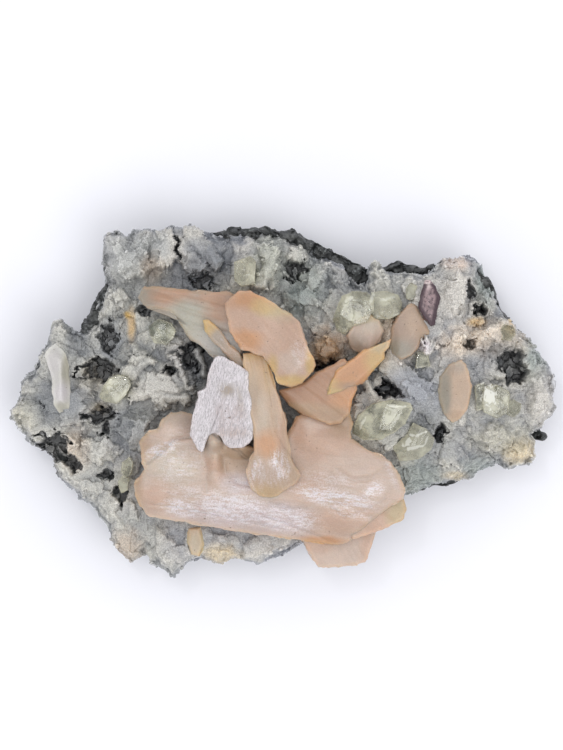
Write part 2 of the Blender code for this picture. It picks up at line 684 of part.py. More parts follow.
def rock_room(obj):
    """The rock grown by the gap, which the crust is cut with."""
    bm = bmesh.new()
    bm.from_mesh(obj.data)
    bm.normal_update()
    for vert, move in [(v, v.normal * GAP * 1.3 * MM) for v in bm.verts]:
        vert.co += move
    bmesh.ops.scale(bm, vec=(1 / MM, 1 / MM, 1 / MM), verts=bm.verts)
    return helper("rock_room", bm)


def crust(pockets):
    """The druse crust: a skin over the rock with knobs, hollows and crystal pockets."""
    bm = rings(
        CRUST_OUTLINE,
        [
            (0.90, lambda x, y: CRUST_FLOOR),
            (0.99, lambda x, y: CRUST_FLOOR + 3),
            (1.0, lambda x, y: CRUST_TOP - 3),
            (0.96, lambda x, y: CRUST_TOP),
        ],
    )
    for x, y, long, wide, turn, top in KNOBS:
        lump(bm, x, y, long, wide, turn, 2 * CRUST_TOP - 5 - top, top)
    obj = node("quartz_druse", bm, "druse")
    fused(obj, CRUST_VOXEL, CRUST_TRIANGLES, [(7, 1.4), (3, 1.0)])
    for i, (x, y, long, wide, turn, low) in enumerate(PITS):
        bm = bmesh.new()
        place = Matrix.Translation((x, y, (low + SKY) / 2))
        turned = Matrix.Rotation(math.radians(turn), 4, "Z")
        spread_up = 1.0 + (SKY - low) * 0.02
        bmesh.ops.create_cone(
            bm, cap_ends=True, segments=9, radius1=0.75, radius2=spread_up, depth=SKY - low,
            matrix=place @ turned @ Matrix.Diagonal((long, wide, 1, 1)),
        )
        pockets.objects.link(helper(f"pit_{i}", bm))
    boolean(obj, "DIFFERENCE", pockets)
    bm = settled(obj)
    bmesh.ops.triangulate(bm, faces=bm.faces)
    bm.to_mesh(obj.data)
    bm.free()


def main():
    start_scene()
    pockets = gather("pockets")
    grown_together("stilbite_sheaf", list(SHEAF.values()), "stilbite", pockets)
    for name, shapes in CRYSTALS.items():
        slot = name.split("_")[0]
        grown_together(name, shapes, slot, pockets)
    pockets.objects.link(rock_room(rock()))
    crust(pockets)


main()
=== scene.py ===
"""The apophyllite cluster seen from straight above: its looks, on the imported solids.

Tables and surface functions work in millimetres, in the frame of the solids; the
meshes are in metres. +X runs right, +Y to the back edge, +Z up.
"""

import math
from collections import namedtuple

import bpy
import numpy as np
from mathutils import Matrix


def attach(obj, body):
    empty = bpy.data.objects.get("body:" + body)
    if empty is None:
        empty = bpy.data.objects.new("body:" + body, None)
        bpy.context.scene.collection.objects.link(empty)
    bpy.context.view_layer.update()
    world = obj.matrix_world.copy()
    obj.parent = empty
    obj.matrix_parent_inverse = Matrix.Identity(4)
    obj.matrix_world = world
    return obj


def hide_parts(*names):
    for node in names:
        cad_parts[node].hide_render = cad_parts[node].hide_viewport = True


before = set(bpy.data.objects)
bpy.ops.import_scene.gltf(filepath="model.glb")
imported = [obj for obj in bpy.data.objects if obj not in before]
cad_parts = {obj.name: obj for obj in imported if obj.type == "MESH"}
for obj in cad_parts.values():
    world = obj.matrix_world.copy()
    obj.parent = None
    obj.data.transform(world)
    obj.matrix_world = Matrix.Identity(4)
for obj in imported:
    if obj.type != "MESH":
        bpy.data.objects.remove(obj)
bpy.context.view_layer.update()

MM = 0.001
random = np.random.default_rng(11)

# what the lights do to a level, open surface: brightness over its own colour, and gloss
LIGHT = 1.25
GLOSS = 0.04


def seen(red, green, blue):
    """The surface colour that shows as this screen colour on a level, open surface.

    The screen's curve is light = ((c + 0.055) / 1.055) to the power 2.4, with c from 0 to
    1. The gloss is taken off it, and the rest is divided by the strength of the lights.
    """
    share = (np.array([red, green, blue]) / 255 + 0.055) / 1.055
    return tuple((share**2.4 - GLOSS).clip(0.004) / LIGHT)


# finishes, as they show on a level surface
PEACH = seen(204, 174, 155)
PALE_PEACH = seen(207, 186, 172)
DEEP_PEACH = seen(186, 150, 126)
ORANGE = seen(204, 158, 122)
TAN = seen(186, 160, 136)
BUFF = seen(198, 174, 153)
CREAM = seen(208, 194, 178)
STRAW = seen(206, 176, 128)
SAND = seen(196, 178, 146)
LILAC_GREY = seen(203, 187, 185)
# painted glare: a near-white that stands for light thrown back by shiny faces
GLARE_WHITE = seen(220, 214, 217)
MILK = (0.52, 0.49, 0.40)
GREY_TAN = seen(178, 164, 150)
PINK_TAN = seen(176, 154, 138)
GREY_GLASS = seen(164, 158, 146)
WHITE_FACE = seen(214, 212, 204)
DULL_WHITE = seen(182, 178, 164)
LILAC = seen(158, 138, 140)
CREAM_GREY = seen(188, 184, 178)
PALE_GREY = seen(164, 165, 164)
BLUE_GREY = seen(140, 142, 148)
SLAB_BLUE = seen(152, 154, 160)
GREEN_GREY = seen(166, 167, 158)
SEA_GREY = seen(142, 148, 145)
DARK_GREEN = seen(110, 118, 122)
UMBER = seen(96, 84, 64)
BROWN = seen(160, 134, 108)
OCHRE = seen(206, 166, 70)
HONEY = seen(212, 184, 154)
DEEP_GREY = seen(122, 125, 130)
HOLE = seen(98, 98, 98)
GLASS = (0.98, 0.96, 0.78)
GLASS_RIM = (0.97, 0.94, 0.74)
# the near-white of the painted glints
GLINT = seen(244, 244, 238)

# where everything lies, in millimetres, read from the enlarged photo

# the columns of a blade or crystal: facets are a point and how far the face falls per
# millimetre in x and y, direction is the fibres' in degrees, and rim is its rounding
Blade = namedtuple("Blade", "outline top rise_x rise_y thickness facets direction fan rim")
# the columns of a glassy crystal, the same up to the facets, then how milky it is
Gem = namedtuple("Gem", "outline top rise_x rise_y thickness facets milk")

ROCK_OUTLINE = [
    (-62.5, -2.7), (-61.0, 2.3), (-56.9, 8.9), (-53.4, 13.2), (-50.9, 16.7), (-48.4, 21.3),
    (-45.8, 26.3), (-42.8, 31.6), (-42.3, 37.2), (-38.3, 38.7), (-29.4, 40.2), (-20.6, 40.7),
    (-15.0, 42.0), (-9.2, 42.5), (-4.2, 42.7), (0.9, 41.7), (3.9, 41.2), (9.2, 38.2), (16.0, 34.4),
    (21.3, 32.6), (26.1, 32.6), (29.9, 34.4), (35.0, 32.4), (38.0, 33.6), (40.8, 34.1), (45.1, 32.9),
    (49.6, 32.4), (53.2, 28.1), (55.2, 22.8), (59.7, 17.0), (62.2, 13.9), (65.3, 8.9), (66.0, 2.3),
    (65.5, -2.0), (64.8, -6.8), (65.5, -8.3), (67.5, -9.3), (67.5, -10.6), (64.8, -11.1),
    (60.2, -12.6), (55.2, -13.8), (49.6, -17.4), (43.8, -21.7), (38.0, -22.7), (31.9, -23.9),
    (24.9, -27.2), (14.8, -31.0), (4.7, -33.5), (-2.9, -36.1), (-11.7, -37.3), (-20.6, -37.3),
    (-27.6, -39.9), (-33.2, -38.1), (-38.8, -36.1), (-42.8, -29.8), (-47.1, -26.0), (-53.4, -20.4),
    (-57.9, -13.8), (-61.5, -8.8),
]

# bare rock at the rim: x, y, radius, top
ROCK_LUMPS = [
    (-12.9, 40.5, 2.2, 18.0),
    (-7.9, 41.2, 2.4, 19.0),
    (-2.9, 41.7, 2.2, 18.5),
    (1.6, 40.7, 2.6, 19.0),
    (5.9, 39.0, 2.8, 20.0),
    (10.2, 37.0, 2.6, 19.0),
    (14.7, 34.2, 2.6, 18.0),
    (19.2, 31.2, 3.2, 17.0),
    (26.2, 31.4, 2.6, 18.0),
    (30.2, 32.2, 3.2, 19.0),
    (33.7, 30.9, 2.8, 18.5),
    (39.3, 32.4, 2.4, 18.0),
    (49.8, 29.9, 3.4, 18.0),
    (52.0, 26.4, 3.0, 17.5),
    (60.8, 14.1, 2.8, 17.0),
    (66.1, -10.0, 0.9, 14.0),
    (40.4, -21.8, 1.4, 14.0),
    (-49.5, 16.6, 3.0, 17.0),
    (-47.3, 20.4, 3.2, 18.0),
    (-44.8, 25.2, 3.2, 18.0),
    (-57.0, -15.3, 3.6, 15.0),
]

CRUST_OUTLINE = [
    (-68.1, -3.4), (-65.6, 0.3), (-65.6, 3.6), (-61.6, 6.9), (-60.1, 11.9), (-58.1, 14.1),
    (-56.8, 18.9), (-55.1, 19.1), (-52.0, 15.9), (-49.3, 16.1), (-47.3, 19.6), (-45.3, 24.2),
    (-43.5, 27.9), (-44.3, 31.4), (-44.5, 37.0), (-45.0, 41.0), (-41.0, 41.7), (-38.8, 39.7),
    (-37.2, 42.2), (-30.5, 41.7), (-27.5, 42.7), (-20.4, 42.5), (-14.9, 40.5), (-9.2, 40.2),
    (-4.6, 41.0), (0.9, 40.0), (4.6, 38.2), (9.2, 36.0), (14.7, 33.4), (17.4, 28.7), (20.7, 26.7),
    (21.9, 32.9), (23.5, 34.7), (25.5, 31.4), (30.2, 30.7), (34.7, 29.9), (37.8, 31.9), (41.8, 34.9),
    (46.5, 35.2), (49.8, 33.2), (51.5, 28.7), (53.3, 24.9), (55.3, 20.4), (59.1, 16.6), (63.1, 13.6),
    (66.8, 8.1), (68.4, 2.3), (67.9, -2.7), (65.3, -6.9), (62.3, -8.7), (63.8, -11.5), (63.3, -15.5),
    (56.8, -18.2), (53.8, -16.2), (49.3, -19.2), (45.5, -21.0), (41.0, -21.2), (37.8, -21.7),
    (31.7, -24.2), (23.5, -27.0), (12.2, -32.0), (5.4, -36.5), (2.1, -38.8), (-0.9, -40.1),
    (-5.4, -42.3), (-11.7, -40.3), (-16.7, -41.8), (-20.9, -40.1), (-27.5, -44.6), (-33.0, -41.3),
    (-34.2, -38.8), (-38.0, -41.6), (-41.8, -38.3), (-43.5, -32.5), (-48.0, -27.0), (-55.1, -20.7),
    (-59.3, -13.7), (-64.6, -8.7),
]

# knobs of the crust: x, y, half length, half width, turn, top
KNOBS = [
    (-41.2, 37.5, 3.8, 3.4, 20, 25.0),
    (-35.3, 37.7, 4.2, 2.8, 80, 24.0),
    (-29.5, 36.2, 5.6, 3.2, 85, 26.0),
    (-23.0, 36.2, 6.4, 3.0, 125, 27.0),
    (-16.8, 37.2, 3.4, 2.8, 60, 24.0),
    (-10.3, 36.0, 3.8, 2.6, 0, 24.0),
    (-3.1, 33.5, 6.8, 3.4, 95, 27.0),
    (2.6, 35.5, 3.2, 2.8, 0, 23.0),
    (9.1, 28.8, 4.6, 3.6, 60, 25.0),
    (15.1, 30.0, 4.6, 3.4, 0, 27.0),
    (24.0, 30.3, 4.2, 2.4, 80, 25.0),
    (30.5, 28.8, 3.6, 2.4, 0, 24.0),
    (37.3, 30.5, 3.2, 2.2, 20, 24.5),
    (43.3, 26.0, 9.0, 4.2, 80, 28.5),
    (51.2, 23.0, 3.8, 3.2, 60, 26.0),
    (52.8, 15.8, 6.4, 4.0, 10, 27.5),
    (43.1, 14.0, 3.8, 2.8, 0, 27.0),
    (51.5, 8.1, 5.0, 3.0, 90, 26.0),
    (64.4, -0.7, 6.2, 3.6, 95, 25.5),
    (61.2, 9.1, 4.6, 3.6, 130, 25.5),
    (44.5, -9.4, 4.0, 3.6, 30, 26.0),
    (52.4, -9.4, 4.6, 3.8, 0, 26.0),
    (60.3, -13.7, 4.4, 3.0, 10, 22.0),
    (32.7, 2.1, 8.4, 3.6, 135, 28.5),
    (38.6, 6.3, 3.2, 2.6, 90, 27.0),
    (42.0, -13.6, 5.0, 4.2, 60, 25.0),
    (34.1, -20.4, 5.6, 4.0, 15, 22.0),
    (45.3, -19.0, 4.4, 2.6, 20, 20.0),
    (-55.9, 11.8, 4.2, 2.6, 15, 22.0),
    (-63.4, -4.2, 5.0, 3.9, 100, 22.5),
    (-60.4, 2.6, 5.0, 3.2, 20, 23.0),
    (-52.2, -1.6, 5.8, 5.2, 60, 25.5),
    (-49.0, 2.6, 3.8, 3.2, 0, 25.0),
    (-41.5, 24.0, 4.6, 3.6, 60, 24.5),
    (-38.5, 33.8, 5.4, 4.4, 30, 26.5),
    (-36.5, 10.1, 3.8, 3.2, 0, 25.5),
    (-30.3, 3.1, 9.6, 5.4, 170, 25.5),
    (-26.3, 13.1, 3.8, 2.6, 140, 25.0),
    (-52.4, -12.2, 4.6, 3.2, 100, 23.0),
    (-44.9, -12.4, 5.2, 4.0, 70, 24.0),
    (-35.3, -8.1, 5.0, 4.6, 60, 26.0),
    (-49.3, -22.0, 6.0, 3.4, 160, 21.0),
    (-36.7, -28.8, 4.4, 2.6, 100, 22.0),
    (-38.0, -36.0, 5.2, 3.6, 80, 21.0),
    (-29.2, -38.3, 6.0, 4.8, 100, 22.0),
    (-14.9, -37.3, 4.4, 3.9, 0, 22.0),
    (-5.9, -38.3, 5.6, 3.8, 170, 21.5),
    (20.0, 14.8, 5.4, 4.2, 80, 29.0),
    (11.3, 12.1, 4.6, 4.2, 0, 27.0),
    (5.9, 24.3, 5.0, 4.0, 0, 25.0),
    (30.0, 16.1, 4.0, 4.0, 0, 24.0),
    (-30.3, 16.8, 6.0, 3.6, 30, 24.5),
    (-19.1, 33.0, 5.0, 3.2, 30, 24.5),
    (36.4, 12.6, 3.4, 2.6, 60, 28.5),
]

# hollows: x, y, half length, half width, turn, level of the bottom
PITS = [
    (-43.4, 14.8, 4.8, 2.3, 95, 14.6),
    (-45.4, 6.8, 4.4, 2.8, 20, 15.0),
    (-22.4, 11.1, 4.6, 3.0, 75, 14.2),
    (-28.1, 6.6, 2.0, 1.2, 0, 15.0),
    (-19.9, 29.1, 3.2, 2.0, 0, 16.4),
    (-26.1, 37.9, 3.9, 0.7, -72, 16.6),
    (-34.6, 21.9, 2.4, 2.0, 0, 15.0),
    (-44.9, -4.2, 4.2, 2.2, 0, 15.4),
    (-43.9, -7.7, 1.8, 1.3, 90, 15.4),
    (-56.1, -14.7, 6.2, 4.4, 120, 14.2),
    (-43.3, -19.7, 2.2, 1.6, 0, 14.6),
    (-40.5, -25.3, 3.6, 1.5, 80, 14.6),
    (3.4, 31.4, 2.8, 2.4, 0, 15.0),
    (28.1, 2.1, 4.0, 2.2, 170, 14.8),
    (57.9, 7.3, 4.6, 3.2, 100, 14.6),
    (49.9, 21.6, 1.8, 1.6, 0, 15.0),
    (46.9, 26.4, 2.0, 1.2, 90, 16.0),
    (46.9, 13.1, 1.6, 1.4, 0, 17.0),
    (11.6, 7.3, 3.6, 1.8, 0, 15.0),
    (39.6, -8.7, 2.0, 1.6, 90, 16.0),
    (-8.9, 21.9, 3.0, 2.0, 0, 15.0),
]

# fingers of the crust: start, end, half width, top
FINGERS = [
    (-27.4, 10.1, -24.4, 5.6, 0.65, 26.0),
    (-24.7, 5.8, -22.4, 2.1, 0.75, 25.5),
    (-26.7, 13.5, -25.4, 11.1, 0.45, 24.5),
    (-20.5, 11.8, -19.0, 6.3, 1.1, 24.0),
    (-38.1, 6.1, -32.6, 8.8, 1.5, 25.5),
    (-36.6, 0.4, -30.1, 2.1, 1.9, 25.5),
    (-30.1, -0.4, -23.7, -0.4, 1.4, 25.0),
    (19.9, 4.9, 24.4, -1.3, 1.3, 27.5),
    (18.7, 0.9, 21.2, -2.8, 0.45, 27.0),
    (-55.8, 18.5, -54.0, 13.8, 1.9, 23.0),
    (-48.1, -10.6, -45.1, -16.0, 1.2, 24.0),
    (-55.4, -18.1, -49.4, -23.6, 1.6, 20.5),
    (-42.4, -26.9, -39.9, -32.6, 1.5, 21.5),
    (-32.9, -39.6, -27.4, -43.1, 1.6, 20.5),
    (-1.6, 36.1, -5.6, 27.7, 1.6, 27.0),
    (-22.7, 40.9, -16.8, 33.7, 2.0, 26.5),
    (-29.2, 40.9, -27.7, 34.7, 2.0, 26.0),
    (26.9, 8.6, 38.2, -3.6, 3.0, 28.0),
    (34.1, 14.2, 35.3, 11.0, 0.4, 30.0),
    (35.3, 14.7, 35.6, 11.0, 0.4, 30.4),
    (36.8, 14.0, 35.8, 11.0, 0.4, 30.0),
    (46.7, 3.1, 54.2, 6.3, 1.0, 26.0),
    (23.2, 33.7, 26.0, 26.2, 1.7, 25.5),
    (51.6, 32.4, 59.6, 16.9, 1.6, 20.5),
]

# colour of the crust in places: x, y, reach in x, reach in y, colour, share
CRUST_COLOURS = [
    (-37.5, 17.8, 1.2, 4.4, STRAW, 0.7),
    (-38.5, 20.6, 0.8, 1.0, OCHRE, 0.7),
    (48.5, 18.6, 2.4, 1.3, STRAW, 0.95),
    (57.2, 18.1, 1.0, 2.2, STRAW, 0.8),
    (43.4, -19.6, 3.5, 1.4, SAND, 0.5),
    (4.1, 24.0, 4.0, 4.0, DARK_GREEN, 0.6),
    (51.1, 28.4, 3.5, 6.0, SEA_GREY, 0.85),
    (33.6, -20.1, 7.0, 6.0, SEA_GREY, 0.8),
    (49.6, -17.1, 5.0, 3.0, SEA_GREY, 0.7),
    (63.4, 10.1, 3.5, 7.0, SEA_GREY, 0.85),
    (43.3, 33.2, 3.6, 2.2, PALE_PEACH, 0.9),
    (42.6, 26.0, 5.0, 9.0, CREAM_GREY, 0.9),
    (52.3, 14.8, 10.0, 5.0, CREAM, 0.7),
    (43.1, 13.0, 5.0, 4.0, CREAM, 0.6),
    (59.6, -13.2, 5.0, 3.5, SAND, 0.7),
    (-38.6, -37.6, 4.5, 5.0, GREY_TAN, 0.7),
    (-15.1, -39.6, 5.0, 3.0, SAND, 0.6),
    (-45.2, -3.1, 3.0, 2.5, UMBER, 0.8),
    (-45.2, 6.8, 4.5, 3.0, UMBER, 0.9),
    (-48.1, 3.1, 5.0, 4.0, GREY_GLASS, 0.6),
    (-51.5, -12.3, 4.0, 6.0, GREY_TAN, 0.6),
    (-63.9, -4.4, 4.0, 4.0, DULL_WHITE, 0.7),
    (-35.3, -8.1, 7.0, 6.0, PALE_GREY, 0.6),
    (-40.2, 34.8, 8.0, 8.0, PALE_GREY, 0.7),
    (-32.8, 37.5, 6.0, 4.0, PALE_GREY, 0.7),
    (-32.3, 32.3, 3.0, 4.0, GREY_TAN, 0.6),
    (-3.1, 33.7, 4.5, 7.5, GREEN_GREY, 0.8),
    (20.4, 15.2, 4.6, 5.0, BUFF, 0.95),
    (26.3, 18.0, 4.0, 4.5, GREY_TAN, 0.8),
    (11.3, 11.8, 5.0, 5.5, BROWN, 0.9),
    (-30.2, 1.9, 9.0, 5.0, CREAM_GREY, 0.5),
    (-19.0, 33.2, 7.0, 7.0, DEEP_GREY, 0.8),
    (-14.0, 36.1, 4.0, 5.0, DEEP_GREY, 0.6),
    (-24.0, 28.9, 6.0, 3.0, DEEP_GREY, 0.8),
    (5.9, 28.0, 7.0, 8.0, SEA_GREY, 0.7),
    (-42.7, 13.1, 4.0, 8.0, DEEP_GREY, 0.8),
    (-29.8, 16.6, 3.4, 3.0, DARK_GREEN, 0.9),
    (-50.7, 13.1, 4.0, 5.0, DEEP_GREY, 0.6),
    (-20.3, 9.3, 8.0, 8.0, DEEP_GREY, 0.5),
    (-40.2, -6.9, 6.0, 6.0, DEEP_GREY, 0.6),
    (-55.2, -0.6, 9.0, 7.0, DEEP_GREY, 0.75),
    (47.0, -11.8, 8.0, 5.0, DEEP_GREY, 0.45),
    (14.6, 28.5, 5.0, 4.0, DEEP_GREY, 0.5),
    (47.0, 5.6, 3.0, 6.0, DEEP_GREY, 0.6),
    (54.4, 10.6, 6.0, 5.0, DEEP_GREY, 0.6),
    (30.8, -5.6, 6.0, 4.0, DEEP_GREY, 0.5),
    (37.0, -8.1, 5.0, 9.0, DEEP_GREY, 0.6),
    (28.3, 13.1, 5.0, 6.0, GREY_TAN, 0.5),
    (32.5, 2.1, 8.0, 6.0, SLAB_BLUE, 0.9),
    (35.4, 12.5, 1.6, 1.8, GLARE_WHITE, 0.9),
    (64.9, -0.6, 5.0, 8.0, CREAM_GREY, 0.8),
    (54.4, -10.6, 9.0, 4.0, DULL_WHITE, 0.6),
]

# the sheaf's foot: its outline, its swells (x, y, half length, half width, turn, rise)
# and its creases (depth, half width, line)
BODY_OUTLINE = [
    (-35.2, -10.8), (-32.5, -8.4), (-30.5, -7.9), (-29.0, -5.2), (-27.3, -3.5), (-24.6, -3.2),
    (-21.9, -3.7), (-19.5, -6.7), (-18.3, -7.6), (-16.8, -7.1), (-15.1, -7.6), (-13.8, -9.6),
    (-11.4, -10.8), (-7.7, -11.8), (-3.3, -12.8), (-0.4, -12.0), (1.8, -8.1), (3.8, -4.2), (7.0, -4.0),
    (11.9, -3.2), (16.5, -3.5), (17.8, -6.4), (17.3, -8.6), (17.3, -10.1), (20.2, -11.8),
    (22.7, -13.3), (25.1, -14.5), (27.1, -15.7), (27.6, -17.2), (29.0, -19.1), (30.0, -21.6),
    (30.5, -23.1), (30.0, -25.0), (27.8, -26.0), (24.1, -29.2), (20.7, -32.1), (16.8, -35.6),
    (14.8, -36.5), (12.6, -36.5), (7.7, -35.6), (5.0, -35.3), (-2.3, -34.1), (-5.5, -33.8),
    (-11.9, -32.9), (-18.3, -31.9), (-22.7, -30.9), (-28.3, -30.2), (-32.2, -29.4), (-33.4, -28.9),
    (-34.9, -26.2), (-35.9, -23.6), (-36.4, -21.6), (-33.9, -17.7), (-34.4, -14.2),
]
BODY_SWELLS = [
    (-28.7, -7.9, 7.5, 5.5, 40, 2.2),
    (-25.8, -16.7, 8.5, 5.5, 10, 1.5),
    (-32.2, -23.8, 5.0, 5.0, 0, 0.6),
    (-16.5, -18.1, 2.6, 4.2, 0, 0.9),
    (-16.5, -10.0, 2.7, 3.6, 0, 5.4),
    (-16.5, -13.2, 3.4, 5.4, 0, 2.2),
    (-10.2, -11.3, 6.5, 4.0, 0, 3.2),
    (-11.4, -27.9, 17.0, 3.6, -6, 0.7),
    (15.5, -16.7, 13.0, 10.0, -10, 2.4),
    (9.9, -9.6, 8.0, 5.0, -10, 0.8),
    (13.1, -29.9, 10.0, 4.0, -12, 0.6),
]
BODY_CREASES = [
    (0.75, 0.45, [(-33.0, -16.0), (-30.5, -14.0), (-28.1, -12.0), (-25.8, -10.1), (-22.4, -9.6)]),
    (0.30, 0.8, [(-19.0, -14.2), (-18.0, -17.7), (-18.5, -22.6)]),
    (0.35, 0.5, [(-14.6, -14.2), (-13.6, -18.7), (-10.2, -21.1), (-7.7, -21.6)]),
    (0.30, 0.6, [(-2.8, -25.8), (2.1, -27.5), (5.8, -27.0)]),
    (0.35, 0.7, [(13.8, -17.7), (17.3, -20.1), (22.2, -19.6), (26.1, -16.7)]),
    (0.30, 0.5, [(-4.8, -29.2), (2.1, -31.6), (8.9, -34.1), (12.4, -35.8)]),
    (0.25, 0.4, [(11.9, -26.7), (15.6, -29.4), (21.2, -27.5), (25.4, -24.5)]),
    (0.22, 0.3, [(-32.2, -26.2), (-22.4, -27.7), (-12.6, -29.7), (-0.4, -32.4)]),
]

# blades of the sheaf
BLADES = {
    "bottom_slab": Blade(
        [
            (5.1, -34.8), (7.8, -35.3), (12.8, -36.0), (16.7, -34.8), (20.9, -31.8), (23.2, -33.1),
            (22.7, -36.0), (21.9, -38.3), (20.9, -40.8), (18.5, -41.5), (15.7, -42.0), (12.0, -42.2),
            (9.0, -42.0), (6.8, -38.5),
        ],
        25.0, 0.0, 0.08, 7.0, (), -60, 0.0, 0.8,
    ),
    "right_layer": Blade(
        [
            (26.2, -23.2), (29.2, -23.2), (30.4, -25.4), (30.9, -27.9), (30.2, -29.1), (29.9, -30.1),
            (27.9, -31.1), (25.2, -32.3), (23.0, -33.1), (20.8, -34.0), (17.4, -35.0), (16.4, -32.1),
            (21.3, -26.4),
        ],
        29.0, 0.0, 0.06, 8.0, (), -30, 0.0, 0.7,
    ),
    "middle_slab": Blade(
        [
            (-0.6, 1.9), (2.1, 2.7), (5.3, 3.6), (8.4, 6.3), (13.1, 8.5), (15.5, 9.8), (18.2, 6.3),
            (18.5, 1.9), (17.2, -0.5), (16.8, -3.9), (14.6, -6.1), (11.4, -6.6), (8.7, -5.7),
            (5.3, -4.2), (2.8, -2.5), (0.4, -0.0),
        ],
        33.6, 0.05, 0.03, 10.0, (((2.1, -1.5, 32.2), (-0.5, -0.6)),), -38, 0.0, 0.9,
    ),
    "orange_blade": Blade(
        [
            (10.9, 0.5), (11.8, 3.6), (13.3, 6.6), (15.5, 8.3), (17.7, 9.8), (19.7, 11.5),
            (22.6, 12.7), (26.7, 14.6), (26.0, 12.2), (25.0, 11.2), (25.3, 9.5), (23.6, 7.8),
            (21.9, 5.8), (19.9, 3.6), (17.2, 2.4), (14.8, 1.4),
        ],
        34.6, 0.04, 0.05, 8.0, (((22.1, 6.3, 34.0), (0.5, -0.6)),), 40, 0.0, 0.6,
    ),
    "pink_block": Blade(
        [
            (15.9, 15.4), (17.3, 17.6), (19.1, 19.9), (22.0, 20.4), (24.2, 18.6), (25.2, 16.4),
            (24.0, 13.7), (21.5, 11.3), (19.3, 10.8), (16.8, 12.7),
        ],
        31.0, -0.02, 0.10, 8.0,
        (((17.3, 13.0, 29.8), (-0.35, -0.5)), ((23.7, 15.4, 30.2), (0.55, -0.1))),
        70, 0.0, 0.8,
    ),
    "long_blade": Blade(
        [
            (-35.5, 24.7), (-34.0, 27.2), (-30.3, 27.4), (-25.6, 26.7), (-20.2, 26.2), (-12.6, 26.2),
            (-10.2, 24.0), (-9.2, 17.9), (-9.4, 11.7), (-9.7, 7.8), (-13.6, 9.3), (-17.1, 10.3),
            (-19.8, 12.7), (-22.7, 14.7), (-24.4, 17.6), (-25.6, 19.3), (-27.1, 21.1), (-29.8, 21.8),
            (-33.0, 22.0),
        ],
        31.5, 0.03, -0.02, 6.0, (((-32.3, 23.3, 31.0), (-0.12, 0.25)),), -16, 0.0, 1.0,
    ),
    "narrow_blade": Blade(
        [
            (-19.2, 19.1), (-18.0, 19.3), (-16.3, 18.1), (-14.1, 15.9), (-12.4, 12.9), (-10.2, 11.2),
            (-8.7, 7.8), (-10.2, 6.8), (-13.8, 10.7), (-17.0, 13.9), (-18.7, 16.4),
        ],
        33.2, 0.03, -0.03, 6.5, (), -45, 0.0, 0.7,
    ),
    "top_crystal": Blade(
        [
            (-13.9, 23.3), (-12.5, 24.5), (-10.3, 26.0), (-7.6, 26.2), (-4.5, 24.5), (-0.8, 22.1),
            (3.8, 19.2), (4.5, 18.0), (5.5, 14.8), (6.9, 11.4), (8.1, 9.2), (7.9, 6.8), (5.2, 3.7),
            (2.1, 2.7), (-0.8, 3.9), (-2.1, 6.3), (-4.2, 10.2), (-9.8, 11.9), (-12.5, 16.3),
            (-13.2, 19.7),
        ],
        39.0, 0.20, -0.17, 9.0,
        (
            ((2.1, 7.3, 42.0), (0.30, -0.45)),
            ((-8.6, 18.9, 38.1), (-0.35, -0.05)),
            ((-4.7, 23.8, 38.0), (0.25, 0.55)),
            ((1.6, 18.4, 40.4), (0.45, 0.5)),
        ),
        -48, 0.0, 0.8,
    ),
    "silver_blade": Blade(
        [
            (-16.4, 9.7), (-15.2, 10.5), (-13.7, 10.2), (-12.3, 9.0), (-10.1, 8.0), (-8.4, 6.6),
            (-7.7, 0.5), (-6.7, -4.9), (-6.7, -8.3), (-7.9, -10.9), (-9.6, -11.9), (-12.3, -12.2),
            (-13.7, -11.2), (-14.7, -9.5), (-16.4, -8.8), (-17.9, -9.5), (-18.6, -11.2),
            (-19.1, -13.1), (-20.6, -12.4), (-22.3, -9.0), (-21.8, -5.8), (-20.8, -1.0), (-20.1, 1.7),
            (-18.4, 2.4), (-17.9, 5.4), (-16.9, 8.3),
        ],
        36.3, 0.03, 0.04, 7.0, (), 82, 0.0, 0.35,
    ),
    "column": Blade(
        [
            (-9.4, 10.7), (-7.4, 11.2), (-4.3, 10.7), (-3.3, 9.0), (-1.6, 3.4), (-0.1, -1.0),
            (0.9, -5.8), (1.8, -10.5), (2.3, -14.1), (3.8, -17.3), (5.0, -19.0), (3.8, -20.9),
            (1.6, -22.1), (-0.9, -24.1), (-3.0, -25.1), (-5.5, -24.1), (-7.4, -22.1), (-8.4, -19.5),
            (-8.4, -16.8), (-7.9, -15.1), (-6.7, -13.1), (-6.9, -6.8), (-7.9, -3.6), (-8.6, 0.0),
            (-8.9, 4.9), (-9.4, 8.5),
        ],
        37.2, 0.02, -0.10, 9.5,
        (
            ((-0.1, -5.3, 37.0), (0.8, 0.0)),
            ((-7.2, -5.3, 37.0), (-0.45, 0.0)),
            ((-4.3, -18.0, 36.4), (0.0, -0.8)),
        ),
        -79, 0.0, 0.6,
    ),
}

